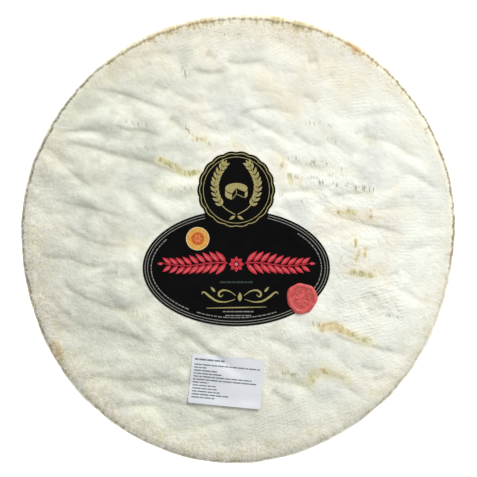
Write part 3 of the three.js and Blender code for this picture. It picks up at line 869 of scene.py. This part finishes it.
def rind_colour(tree, settings, blotches, velvet):
    """The mould's colour, with its thin places, painted shade in its hollows, creases and duller parts, its
    bare marks, and the rim's stains and painted shade.
    """
    here = place_on_piece(tree)
    zones = here.cloud(26, 2, 0.5)
    ragged = here.cloud(270, 3, 0.6)
    strokes = place_on_piece(tree, (1.0, 0.3, 1.0)).cloud(480, 2, 0.6, 0.3)
    dashes = place_on_piece(tree, (1.0, 0.22, 1.0)).cloud(620, 1, 0.5)
    bright = stored(tree, "lit_and_thick_side")

    # Thin mould shows grey green; the same grey green is painted shade in the hollows and over the left and
    # lower parts, away from the light
    thin_mould_and_shade = stored(tree, "cavity") * 0.4 + blotches.rise(0.35, 0.7, 0, 0.3) + bright.rise(-0.3, 1, 0.6, -0.2)
    thin_mould_and_shade = thin_mould_and_shade + velvet.rise(0.3, 0.7) * 0.12 + zones.rise(0.38, 0.6, 1, -1) * bright.rise(0, 1, 0.22, 0.1)
    colour = blend(thin_mould_and_shade, opaque(settings.rind_colour), opaque(settings.shade_colour))
    warm = zones.rise(0.52, 0.66, 0, 0.5) + stored(tree, "warmth")
    colour = blend(warm, colour, tint("#f6eee6"), "MULTIPLY")
    colour = blend(zones.rise(0.34, 0.46, 0.5, 0), colour, tint("#eff1f6"), "MULTIPLY")
    # Painted shade along the creases' bottoms
    crease = stored(tree, "crease_shade") * ragged.rise(0.3, 0.6, 0.1, 0.26)
    colour = blend(crease, colour, tint("#b5b1a0"))

    # Bare patches and marks
    halo = stored(tree, "cream") * ragged.rise(0.36, 0.6, 0.3, 1.2)
    cream = blend(bright.rise(0.6, 0.95, 1, 0), tint("#f2ebd3"), tint("#f2edc9"))
    colour = blend(halo.maths("MINIMUM", 0.75), colour, cream)
    ochre, redness = stored(tree, "ochre"), stored(tree, "ochre_redness")
    mark = ochre * strokes.rise(0.36, 0.62, 0.68, 1.2) * ragged.rise(0.3, 0.6, 0.75, 1.15)
    pale = blend(redness, tint("#e4e1c2"), tint("#f0e4c8"))
    bare = blend(redness, tint("#cfcd99"), opaque(settings.ochre_colour))
    stroke = blend(redness, tint("#8e8852"), tint("#b98a4c"))
    colour = blend(mark.rise(0.06, 0.5, 0, 0.9), colour, pale)
    colour = blend(mark.rise(0.4, 0.95, 0, 0.85), colour, bare)
    dark = mark.rise(0.4, 0.9, 0, 0.52) * dashes.rise(0.48, 0.6) + ochre.rise(1.2, 1.6, 0, 0.3)
    colour = blend(dark, colour, stroke)
    tick = stored(tree, "ticks") * dashes.rise(0.53, 0.61)
    colour = blend(tick * 0.65, colour, tint("#8f8768"))
    colour = mottled(tree, rim_colours(tree, settings, colour, blotches))
    # The broad patches of painted shade and painted light
    return blend(1.0, colour, stored(tree, "brightness"), "MULTIPLY"), tick


def mottled(tree, colour):
    """White tufts and darker gaps between them, where the mould's grain is coarse at the edge."""
    ragged, inset = place_on_piece(tree).cloud(310, 3, 0.8), stored(tree, "inset")
    place = stored(tree, "grain") * inset.rise(5, 28, 1, 0.28) * inset.rise(-8, 0, 0.4, 1)
    colour = blend(ragged.rise(0.34, 0.48, 0.34, 0) * place, colour, tint("#aca388"))
    return blend(ragged.rise(0.5, 0.66, 0, 0.65) * place, colour, tint("#fbf9f0"))


def rim_colours(tree, settings, colour, blotches):
    """The beige, speckled edge, the stains, the dark line at the outline, partly stain and partly painted
    shade, and painted shade near the outline on the lit side and on the foot.
    """
    around = Value(tree, "ShaderNodeAttribute", output="Vector", attribute_name="around")
    teeth, patches = around.cloud(420, 3, 0.75), around.cloud(150, 2, 0.6)
    specks = place_on_piece(tree).cloud(900, 2, 0.6)
    inset, redness = stored(tree, "inset"), stored(tree, "rim_redness")
    band = stored(tree, "edge_band") * blotches.rise(0.35, 0.6, 0.4, 1.0) * inset.rise(5, 34, 1, 0)
    spread = stored(tree, "rim_stain") * inset.rise(0.8, 2.0) * inset.rise(5, 14, 1, 0)
    layers = (
        (band, "#ece3cf"),
        # Painted shade near the outline on the lit side
        (inset.rise(3, 12, 0.45, 0) * stored(tree, "lit_and_thick_side"), "#d2cdb6"),
        (band * patches.rise(0.5, 0.62), "#e3dcae"),
        (band * specks.rise(0.52, 0.62), "#b0a488"),
        (spread.rise(0.45, 1.2) * patches.rise(0.38, 0.58, 0.3, 0.9), "#cfc4a2"),
    )
    for strength, code in layers:
        colour = blend(strength, colour, tint(code))
    spots = (spread * 0.22 + teeth).rise(0.6, 0.72) * spread.rise(0.05, 0.5, 0, 0.7)
    spots = spots * patches.rise(0.36, 0.56, 0.2, 1.0)
    colour = blend(spots, colour, blend(redness, tint("#a9a178"), tint("#c09a66")))

    # The dark line near the outline: partly the rim's brown stain, partly painted shade of its edge, grey
    # where it is shade
    off = inset - stored(tree, "rim_place") - patches.rise(0.3, 0.7, -0.6, 0.6)
    line = off.maths("ABSOLUTE").rise(0.4, 1.8, 1, 0) * teeth.rise(0.35, 0.6, 0.5, 1.2)
    line = line * stored(tree, "rim_line")
    # Painted shade on the foot, where the side turns under
    under = inset.rise(-3, -0.5, 0.5, 0) * teeth.rise(0.4, 0.6, 0.3, 1.0)
    dark = blend(redness, tint("#79755f"), opaque(settings.rim_colour))
    return blend(line.maths("MAXIMUM", under), colour, dark)


def rind_material(settings):
    material, tree, shader = new_material("bloomy_rind")
    here = place_on_piece(tree)
    blotches, lumps = here.cloud(95, 3, 0.6), here.cloud(125, 2, 0.5)
    velvet, fuzz = here.cloud(420, 4, 0.65), here.cloud(900, 3, 0.7)
    colour, tick = rind_colour(tree, settings, blotches, velvet)

    # The reeds' lines wander and break off, and the fuzz is coarser towards the foot
    grain, crumpled = stored(tree, "grain"), stored(tree, "crumpled")
    wave = ((blotches * 1.6 + stored(tree, "mat_phase")) * (2 * math.pi)).maths("SINE")
    height = wave * stored(tree, "mat_strength") * lumps.rise(0.4, 0.6, 0.1, 1.0) * REED_HEIGHT
    height = height + (lumps - 0.48).maths("ABSOLUTE") * crumpled.rise(0, 1, *CRUMPLE_HEIGHTS)
    height = height + velvet * grain.rise(0, 1, *VELVET_HEIGHTS) + fuzz * grain.rise(0, 1, *FUZZ_HEIGHTS)
    height = height - tick * TICK_DEPTH
    fill(shader, {"Base Color": colour, "Normal": height.bump(), "Roughness": 0.88})
    fill(shader, {"Specular IOR Level": 0.2, "Sheen Weight": 0.12, "Sheen Roughness": 0.6})
    return material


class BRIE_OT_make_wheel(bpy.types.Operator):
    """Make the cheese wheel with its bloomy rind"""

    bl_idname = "brie.make_wheel"
    bl_label = "Make Wheel"

    def execute(self, context):
        settings = context.scene.brie_wheel
        bm = bmesh.new()
        wheel_top(bm, settings)
        wheel_side(bm, settings)
        wheel = new_object("wheel_with_rind", bm, rind_material(settings))
        store_rind_values(wheel.data)
        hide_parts("cheese_wheel")
        return {"FINISHED"}


# The label


def on_oval(angle, inset=0.0):
    x = (LABEL_HALF_WIDTH - inset) * np.cos(angle)
    y = (LABEL_HALF_HEIGHT - inset) * np.sin(angle)
    return x, y


def on_crest(angle, inset=0.0):
    scallop = SCALLOP_DEPTH * (1 - np.abs(np.cos(CREST_SCALLOPS / 2 * angle)))
    radius = CREST_RADIUS - scallop - inset
    return radius * np.cos(angle), radius * np.sin(angle) + CREST_RISE


def oval_arc(inset, clearance, points):
    """The stretch of an oval that the crest doesn't cover, from its right round the foot to its left."""
    angle = np.linspace(math.pi / 2, -1.5 * math.pi, points)
    x, y = on_oval(angle, inset)
    clear = np.hypot(x, y - CREST_RISE) > CREST_RADIUS + clearance
    return np.stack((x, y), 1)[clear]


def label_outline(points=1400):
    angle = np.linspace(-math.pi / 2, -2.5 * math.pi, points)
    x, y = on_crest(angle)
    outside = np.hypot(x / LABEL_HALF_WIDTH, y / LABEL_HALF_HEIGHT) > 1
    crest = np.stack((x, y), 1)[outside]
    return np.concatenate((oval_arc(0.0, 0.0, points), crest)) + np.array(LABEL_CENTRE)


def paper_material(name, colour, fibre, gloss, shine):
    """Coated paper: a faint cloud of fibre in its colour and a fine bump."""
    material, tree, shader = new_material(name)
    here = place_on_piece(tree)
    wide, fine = here.cloud(60, 3, 0.55), here.cloud(1100, 3, 0.6)
    mottling = (wide * 0.6 + fine * 0.4).rise(0.3, 0.7)
    height = fine * (0.012 * MM) + wide * (0.12 * MM)
    fill(shader, {"Base Color": blend(mottling, opaque(colour, 1 - fibre), opaque(colour, 1 + fibre))})
    fill(shader, {"Normal": height.bump(), "Roughness": wide.rise(0.3, 0.7, gloss, gloss + 0.12)})
    fill(shader, {"Specular IOR Level": shine})
    return material


def paper_sheet(name, outline, surface, material):
    bm = bmesh.new()
    flat_face(bm, outline)
    drape(bm, surface, PAPER_GAP, PAPER, PAPER_CELL)
    return new_object(name, bm, material, 40)


class BRIE_OT_make_label(bpy.types.Operator):
    """Make the oval label with its round crest"""

    bl_idname = "brie.make_label"
    bl_label = "Make Label"

    def execute(self, context):
        settings = context.scene.brie_label
        paper = paper_material("black_label_paper", settings.paper_colour, 0.35, 0.55, 0.05)
        label = paper_sheet("label_sheet", label_outline(), top_height, paper)
        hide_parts("oval_label")
        return {"FINISHED"}


# The label's print: flat shapes in millimetres from the oval's middle, laid on the paper at the end


def leaf(bm, base, heading, length, width):
    """A leaf or a grain, pointed at both ends."""
    share = np.linspace(0, 1, 9)
    half = width / 2 * np.sin(math.pi * share**0.85)
    along = np.concatenate((share, share[-2:0:-1])) * length
    aside = np.concatenate((half, -half[-2:0:-1]))
    x, y = turned(along, aside, -heading)
    flat_face(bm, np.stack((x + base[0], y + base[1]), 1))


BAR_LENGTHS = (2.0, 7.5)
SHORTEST_BAR = 0.5
BAR_GAP = 0.6
BORDER_BAR_LENGTHS = (1.2, 4.2)
BORDER_BAR_GAP = 0.8
BORDER_INSETS = (1.9, 4.0)  # the two lines round the oval
BORDER_WIDTH = 0.55
BORDER_TEXT_INSET = 6.9
BORDER_TEXT = ((44, -24), (-62, -118), (-124, -214))  # where it starts and ends, in degrees
TEXT_HEIGHT = 0.9
FOOT_ROWS = ((-11, -36.2, 25), (-9, -39.4, 21))  # left end, low edge and length
DIM_ROW = (-13.5, -12.4, 27)
FRIEZE_LOW = 3.2
FRIEZE_ENDS = (7.4, 59)
SCROLL_MIDDLE = 2.9
CREST_RING = (27.4, 26.9)


def row_of_bars(bm, left, low, length, height, draws):
    """A row of bars of different lengths."""
    right, top = left + length, low + height
    while right - left > SHORTEST_BAR:
        end = left + min(draws.uniform(*BAR_LENGTHS), right - left)
        flat_face(bm, ((left, low), (end, low), (end, top), (left, top)))
        left = end + BAR_GAP


def arc_of_bars(bm, start, end, inset, height, draws):
    """Bars of different lengths along the oval's edge, between two angles in degrees."""
    angle = math.radians(start)
    while angle > math.radians(end):
        pace = math.hypot(LABEL_HALF_WIDTH * math.sin(angle), LABEL_HALF_HEIGHT * math.cos(angle)) / MM
        bar = draws.uniform(*BORDER_BAR_LENGTHS)
        x, y = on_oval(np.linspace(angle, angle - bar / pace, 4), inset * MM)
        flat_stroke(bm, np.stack((x, y), 1) / MM, np.full(4, height))
        angle -= (bar + BORDER_BAR_GAP) / pace


def circle(points):
    angle = np.linspace(0, 2 * math.pi, points, endpoint=False)
    return np.stack((np.cos(angle), np.sin(angle)), 1)


def ring(bm, centre, outer, inner):
    flat_band(bm, circle(72) * outer + centre, circle(72) * inner + centre)


def disc(bm, centre, radius):
    flat_face(bm, circle(48) * radius + centre)


def border_lines(bm):
    for inset in BORDER_INSETS:
        path = oval_arc(inset * MM, 1.3 * MM, 300) / MM
        flat_stroke(bm, path, np.full(len(path), BORDER_WIDTH))


def border_text(bm):
    """Small bars along the oval's edge, and two rows of them at its foot."""
    draws = random.Random(4)
    for start, end in BORDER_TEXT:
        arc_of_bars(bm, start, end, BORDER_TEXT_INSET, 0.8, draws)
    for row in FOOT_ROWS:
        row_of_bars(bm, *row, TEXT_HEIGHT, draws)


def dim_text(bm):
    row_of_bars(bm, *DIM_ROW, 1.5, random.Random(9))


def frieze_stem(along):
    return FRIEZE_LOW + 1.3 * math.sin(along / 9)


def petals(bm, centre, count, reach, length, width):
    for petal in range(count):
        heading = 360 / count * petal
        x, y = turned(reach, 0, -heading)
        leaf(bm, (centre[0] + x, centre[1] + y), heading, length, width)


def leaf_frieze(bm, pairs):
    """Two branches of leaves, which run out from a rosette."""
    for side in (-1, 1):
        along = np.linspace(*FRIEZE_ENDS, 40)
        path = np.array([(side * a, frieze_stem(a)) for a in along])
        flat_stroke(bm, path, np.linspace(1.1, 0.6, 40))
        for base, heading, length, width in frieze_leaves(side, pairs):
            leaf(bm, base, heading, length, width)
    petals(bm, (0, FRIEZE_LOW), 8, 2.0, 4.4, 3.0)


def frieze_leaves(side, pairs):
    """Base, heading, length and width of each leaf of one branch."""
    pitch = 50.5 / pairs
    for i in range(pairs):
        along = 8.6 + pitch * i
        for up in (-1, 1):
            lean = 47 - 1.4 * i
            heading = up * lean if side > 0 else 180 - up * lean
            base = (side * along, frieze_stem(along) + 0.75 * up)
            yield base, heading, 12.2 - 0.42 * i, 4.1 - 0.1 * i
    yield (side * 59.6, frieze_stem(59.6)), 0 if side > 0 else 180, 5.5, 2.4


def leaf_veins(bm, pairs):
    """A light line down each leaf, and the rosette's middle."""
    for side in (-1, 1):
        for base, heading, length, width in frieze_leaves(side, pairs):
            x, y = turned(0.16 * length, 0.3, -heading)
            leaf(bm, (base[0] + x, base[1] + y), heading, 0.7 * length, 0.24 * width)
    disc(bm, (0, FRIEZE_LOW), 1.5)


def scrolls(bm):
    """A symmetrical flourish and the line under it."""
    inner = ((3.4, -22.6), (8, -18.4), (14, -17.2), (18.2, -20), (17.6, -23.6), (14.6, -24), (13.8, -21.8))
    outer = ((4.0, -25.6), (11, -28.6), (19, -28.2), (25, -23.4), (28.4, -19.4), (31.4, -19.2), (31.2, -21.4))
    for side in (-1, 1):
        for points in (inner, outer):
            path = curve_through(points, 7)
            thick = 0.45 + 1.15 * np.sin(math.pi * np.linspace(0, 1, len(path))) ** 1.6
            flat_stroke(bm, path * (side, 1) + (SCROLL_MIDDLE, 0), thick)
        leaf(bm, (SCROLL_MIDDLE + side * 20.2, -19.6), 90 - side * 42, 5.6, 2.0)
    leaf(bm, (SCROLL_MIDDLE, -27.4), 90, 7.6, 3.4)
    under = np.linspace(-24.5, 24.5, 40)
    flat_stroke(bm, np.stack((under, -32.4 + 0.02 * under), 1), 0.35 + 0.5 * np.cos(under / 24.5 * 1.5))


def wheat_ear(bm, side, pairs):
    stem = curve_through(((1.0, -20), (9.5, -16.5), (16.5, -7.5), (18.6, 3), (16, 13), (10.5, 20.4)), 10)
    stem = stem * (side, 1) + (0, CREST_RISE / MM)
    flat_stroke(bm, stem, np.full(len(stem), 0.7))
    along = np.gradient(stem, axis=0)
    for i in range(pairs):
        place = 14 + round((len(stem) - 16) * i / (pairs - 1))
        heading = math.degrees(math.atan2(along[place, 1], along[place, 0]))
        for turn in (-1, 1):
            x, y = turned(0, 0.55 * turn, -heading)
            leaf(bm, (stem[place, 0] + x, stem[place, 1] + y), heading + 31 * turn, 5.6, 2.3)
    leaf(bm, stem[-1], heading, 5.2, 2.1)


def little_wheel(bm):
    """A small cheese with a wedge cut out of it."""
    across, deep, tall = 9.2, 4.4, 5.2
    middle = np.array((0, CREST_RISE / MM + 1.4))

    def edge(start, end):
        turn = np.radians(np.linspace(start, end, 24))
        return np.stack((across * np.cos(turn), deep * np.sin(turn)), 1)

    flat_face(bm, np.concatenate((edge(-42, 248), ((0, 0.2),))) + middle)
    for start, end in ((180, 247), (-41, 0)):
        upper, lower = edge(start, end) - (0, 0.8), edge(start, end) - (0, tall)
        flat_face(bm, np.concatenate((upper, lower[::-1])) + middle)
    for angle in (248, -42):
        foot = edge(angle, angle)[0] - (0, tall)
        flat_stroke(bm, np.array(((0, -tall + 0.6), foot * 0.92)) + middle, (0.5, 0.5))
    flat_stroke(bm, np.array(((0, -0.9), (0, -tall + 0.9))) + middle, (0.5, 0.5))


def crest_ornament(bm, grain_pairs):
    """A scalloped edge, a ring, two ears of wheat and a little cheese."""
    angle = np.linspace(0, 2 * math.pi, 360, endpoint=False)
    outer, inner = (np.stack(on_crest(angle, inset * MM), 1) / MM for inset in (1.5, 2.2))
    flat_band(bm, outer, inner)
    middle = (0, CREST_RISE / MM)
    ring(bm, middle, *CREST_RING)
    for side in (-1, 1):
        wheat_ear(bm, side, grain_pairs)
    for heading in (-150, -30):
        leaf(bm, (0.8 * math.copysign(1, 90 + heading), middle[1] - 21.2), heading, 6, 2.2)
    little_wheel(bm)


def ink_material(name, colour):
    """Printing ink, a little worn and uneven."""
    material, tree, shader = new_material(name)
    worn = place_on_piece(tree).cloud(900, 3, 0.65)
    fill(shader, {"Base Color": blend(worn.rise(0.35, 0.62), opaque(colour, 0.72), opaque(colour, 1.12))})
    fill(shader, {"Normal": (worn * (0.02 * MM)).bump(), "Roughness": worn.rise(0.3, 0.7, 0.42, 0.6)})
    fill(shader, {"Specular IOR Level": 0.15})
    return material


def lay_ink(name, bm, material, centre, turn, surface, lift=0.0):
    """Moves flat artwork from its paper's millimetres to the paper's place, and lays it on."""

    def place(x, y, z):
        x, y = turned(x * MM, y * MM, -turn)
        return x + centre[0], y + centre[1], z

    move(bm.verts, place)
    drape(bm, surface, PAPER_GAP + PAPER - INK_SINK + lift, INK + INK_SINK, INK_CELL)
    return new_object(name, bm, material, 40)


class BRIE_OT_make_print(bpy.types.Operator):
    """Print the label's borders, frieze, flourish, crest and roundel"""

    bl_idname = "brie.make_print"
    bl_label = "Make Print"

    def execute(self, context):
        settings = context.scene.brie_label
        gold, red, amber = settings.gold_colour, settings.red_colour, settings.amber_colour
        artwork = (
            ("border_lines", linear(PALE_PRINT), border_lines),
            ("border_text", linear(PALE_PRINT), border_text),
            ("dim_text", linear(DIM_PRINT), dim_text),
            ("leaf_frieze", red, leaf_frieze, settings.leaf_pairs),
            ("leaf_veins", linear("#dc6f78"), leaf_veins, settings.leaf_pairs),
            ("scrolls", gold, scrolls),
            ("crest_ornament", gold, crest_ornament, settings.grain_pairs),
            ("roundel_face", amber, ring, ROUNDEL_PLACE, 9.0, 5.2),
            ("roundel_edge", linear("#f6e3b4"), ring, ROUNDEL_PLACE, 9.5, 9.05),
            ("roundel_heart", linear("#c85f28"), disc, ROUNDEL_PLACE, 5.1),
            ("roundel_flower", linear("#d98a55"), petals, ROUNDEL_PLACE, 6, 0.7, 3.4, 1.7),
        )
        for name, colour, draw, *details in artwork:
            bm = bmesh.new()
            draw(bm, *details)
            ink = ink_material(name + "_ink", colour)
            lift = INK if name in OVERPRINTS else 0
            lay_ink(name, bm, ink, LABEL_CENTRE, 0, top_height, lift)
        return {"FINISHED"}


# The wax seal


def seal_radius(angle, settings):
    uneven = 0.6 * np.sin(3 * angle + 0.4) + 0.36 * np.sin(7 * angle + 2.1)
    return settings.radius + settings.drip * uneven


def seal_relief(reach, angle):
    """The wax's height as a share of its thickness: a rolled border round a stamped dish with a star."""
    crown = (1 + SEAL_DISH) / 2
    roll = np.sqrt(np.clip(1 - (np.clip(reach - crown, 0, 1) / (1 - crown)) ** 2, 0, 1))
    dish = 1 - 0.42 * (1 - smoothstep(reach, SEAL_DISH - 0.04, SEAL_DISH + 0.05))
    star_reach = 0.2 + 0.34 * np.abs(np.cos(SEAL_RAYS / 2 * angle)) ** 3
    star = 0.26 * (1 - smoothstep(reach - star_reach, -0.04, 0.03))
    thread = 0.14 * np.exp(-(((reach - 0.63) / 0.022) ** 2))
    return roll * (dish + star + thread)


def seal_surface(bm, settings):
    def place(u, v, _):
        reach, angle = square_to_disc(u, v)
        radius = reach * seal_radius(angle, settings)
        x = SEAL_CENTRE[0] + radius * np.cos(angle)
        y = SEAL_CENTRE[1] + radius * np.sin(angle)
        uneven = 1 + 0.16 * noise_field(x, y, 5 * MM, 2, 5.7)
        wax = settings.thickness * seal_relief(reach, angle) * uneven
        return x, y, top_height(x, y) + PAPER_GAP + PAPER + wax

    bmesh.ops.create_grid(bm, x_segments=SEAL_CELLS, y_segments=SEAL_CELLS, size=1.0)
    move(bm.verts, place)
    edge = [edge for edge in bm.edges if edge.is_boundary]
    grown = bmesh.ops.extrude_edge_only(bm, edges=edge)["geom"]
    move(made_of(grown, bmesh.types.BMVert), lambda x, y, z: (x, y, top_height(x, y) + PAPER_GAP))
    bmesh.ops.edgeloop_fill(bm, edges=[e for e in made_of(grown, bmesh.types.BMEdge) if e.is_boundary])


def wax_material(colour):
    """Sealing wax: mottled, softly glossy and a little translucent, with fine pits."""
    material, tree, shader = new_material("sealing_wax")
    here = place_on_piece(tree)
    mottle, pits = here.cloud(260, 3, 0.6), here.cloud(1500, 2, 0.6)
    height = mottle * (0.2 * MM) + pits * (0.03 * MM)
    mottled_wax = blend(mottle.rise(0.35, 0.65), opaque(colour, 0.78), opaque(colour, 1.18, 0.02))
    fill(shader, {"Base Color": mottled_wax})
    fill(shader, {"Normal": height.bump(), "Roughness": mottle.rise(0.3, 0.7, 0.34, 0.5)})
    fill(shader, {"Specular IOR Level": 0.45, "Subsurface Weight": 0.12, "Subsurface Scale": 1.0})
    fill(shader, {"Subsurface Radius": (1.2 * MM, 0.4 * MM, 0.3 * MM)})
    return material


class BRIE_OT_make_seal(bpy.types.Operator):
    """Make the wax seal on the label's edge"""

    bl_idname = "brie.make_seal"
    bl_label = "Make Seal"

    def execute(self, context):
        settings = context.scene.brie_seal
        bm = bmesh.new()
        seal_surface(bm, settings)
        seal = new_object("seal_of_wax", bm, wax_material(settings.wax_colour), 50)
        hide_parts("wax_seal")
        return {"FINISHED"}


# The sticker

# The rows of print: how long each is, in millimetres, and where the first one starts
STICKER_ROWS = (25, 54, 10, 19, 24, 48, 52, 13, 19, 20, 23, 30, 19)
FIRST_ROW = (-27.3, 15.4)
HEADING_SIZE = (1.4, 4.0)  # a row's height, and the step down to the next
TEXT_SIZE = (1.0, 2.45)


def sticker_surface(x, y):
    """The rind under the sticker, with the sticker's own waves and its lower edge's curl."""
    curl = bpy.context.scene.brie_sticker.curl
    _, up = turned(x - STICKER_CENTRE[0], y - STICKER_CENTRE[1], STICKER_TURN)
    lifted = curl * smoothstep(-up / STICKER_SIZE[1], 0.25, 0.5) ** 2
    return top_height(x, y) + lifted + 0.3 * MM * (1 + noise_field(x, y, 16 * MM, 2, 3.1))


def rounded_rectangle(width, height, corner):
    quarter = np.linspace(0, math.pi / 2, 7)
    arc = np.stack((np.cos(quarter), np.sin(quarter)), 1) * corner + (width / 2 - corner, height / 2 - corner)
    return np.concatenate((arc, (arc * (-1, 1))[::-1], arc * (-1, -1), (arc * (1, -1))[::-1]))


def sticker_rows(bm):
    """Rows of bars from the sticker's upper edge down."""
    draws = random.Random(21)
    left, low = FIRST_ROW
    for i, length in enumerate(STICKER_ROWS):
        height, step = TEXT_SIZE if i else HEADING_SIZE
        row_of_bars(bm, left, low, length, height, draws)
        low -= step


class BRIE_OT_make_sticker(bpy.types.Operator):
    """Make the small sticker and its rows of print"""

    bl_idname = "brie.make_sticker"
    bl_label = "Make Sticker"

    def execute(self, context):
        settings = context.scene.brie_sticker
        paper = paper_material("white_sticker_paper", settings.paper_colour, 0.02, 0.5, 0.3)
        corners = rounded_rectangle(*STICKER_SIZE, STICKER_CORNER)
        outline = np.stack(turned(*corners.T, -STICKER_TURN), 1) + STICKER_CENTRE
        sticker = paper_sheet("sticker_sheet", outline, sticker_surface, paper)
        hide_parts("paper_sticker")
        bm = bmesh.new()
        sticker_rows(bm)
        ink = ink_material("grey_ink", settings.ink_colour)
        lay_ink("sticker_rows", bm, ink, STICKER_CENTRE, STICKER_TURN, sticker_surface)
        return {"FINISHED"}


# The stage

FLOOR_REACH = 3.0
KEY_PLACE = (2.1, 4.35, 3.3)
KEY_WIDTH = 2.4
KEY_COLOUR = (1.0, 0.985, 0.955)


def stage_floor():
    bm = bmesh.new()
    bmesh.ops.create_grid(bm, x_segments=2, y_segments=2, size=FLOOR_REACH)
    mesh = bpy.data.meshes.new("floor")
    bm.to_mesh(mesh)
    bm.free()
    material, tree, shader = new_material("pale_floor")
    grain = place_on_piece(tree).cloud(300, 3, 0.6)
    fill(shader, {"Base Color": blend(grain.rise(0.3, 0.7), tint("#f8f8f8"), tint("#fdfdfd"))})
    fill(shader, {"Roughness": 0.9, "Specular IOR Level": 0.1})
    fill(shader, {"Emission Color": (1, 1, 1, 1), "Emission Strength": 1.0})
    mesh.materials.append(material)
    floor = bpy.data.objects.new("floor", mesh)
    bpy.context.scene.collection.objects.link(floor)


def key_light(power):
    """One large lamp, which looks at the wheel's middle."""
    light = bpy.data.lights.new("key_light", "AREA")
    light.shape = "DISK"
    light.size = KEY_WIDTH
    light.energy = power
    light.color = KEY_COLOUR
    made = bpy.data.objects.new("key_light", light)
    made.location = KEY_PLACE
    made.rotation_euler = (-Vector(KEY_PLACE)).to_track_quat("-Z", "Y").to_euler()
    bpy.context.scene.collection.objects.link(made)


class BRIE_OT_make_stage(bpy.types.Operator):
    """Make the floor, the lights and the camera"""

    bl_idname = "brie.make_stage"
    bl_label = "Make Stage"

    def execute(self, context):
        settings = context.scene.brie_stage
        stage_floor()
        key_light(settings.key_power)
        world = bpy.data.worlds.new("even_sky")
        world.use_nodes = True
        sky = world.node_tree.nodes["Background"]
        fill(sky, {"Color": (1, 1, 1, 1), "Strength": settings.sky_strength})
        context.scene.world = world
        context.scene.view_settings.view_transform = "Standard"
        camera = bpy.data.cameras.new("camera")
        camera.lens = camera.sensor_width * settings.camera_distance / PICTURE_WIDTH
        camera.clip_end = 20
        made = bpy.data.objects.new("camera", camera)
        made.location = (*PICTURE_CENTRE, WIDEST_LINE + settings.camera_distance)
        context.scene.collection.objects.link(made)
        context.scene.camera = made
        return {"FINISHED"}


class BRIE_PT_panel(bpy.types.Panel):
    bl_label = "Brie Wheel"
    bl_idname = "BRIE_PT_panel"
    bl_space_type = "VIEW_3D"
    bl_region_type = "UI"
    bl_category = "Brie Wheel"

    def draw(self, context):
        for name, _, operators in STEPS:
            box = self.layout.box()
            settings = getattr(context.scene, name)
            for key in settings.__annotations__:
                box.prop(settings, key)
            for operator in operators:
                box.operator(operator.bl_idname)


STEPS = (
    ("brie_wheel", BrieWheelSettings, (BRIE_OT_make_wheel,)),
    ("brie_label", BrieLabelSettings, (BRIE_OT_make_label, BRIE_OT_make_print)),
    ("brie_seal", BrieSealSettings, (BRIE_OT_make_seal,)),
    ("brie_sticker", BrieStickerSettings, (BRIE_OT_make_sticker,)),
    ("brie_stage", BrieStageSettings, (BRIE_OT_make_stage,)),
)
CLASSES = (*(item for _, group, operators in STEPS for item in (group, *operators)), BRIE_PT_panel)


def register():
    for item in CLASSES:
        bpy.utils.register_class(item)
    for name, group, _ in STEPS:
        setattr(bpy.types.Scene, name, bpy.props.PointerProperty(type=group))


def unregister():
    for name, _, _ in STEPS:
        delattr(bpy.types.Scene, name)
    for item in reversed(CLASSES):
        bpy.utils.unregister_class(item)


def main():
    register()
    bpy.ops.brie.make_wheel()
    bpy.ops.brie.make_label()
    bpy.ops.brie.make_print()
    bpy.ops.brie.make_seal()
    bpy.ops.brie.make_sticker()
    bpy.ops.brie.make_stage()


if __name__ == "__main__":
    main()
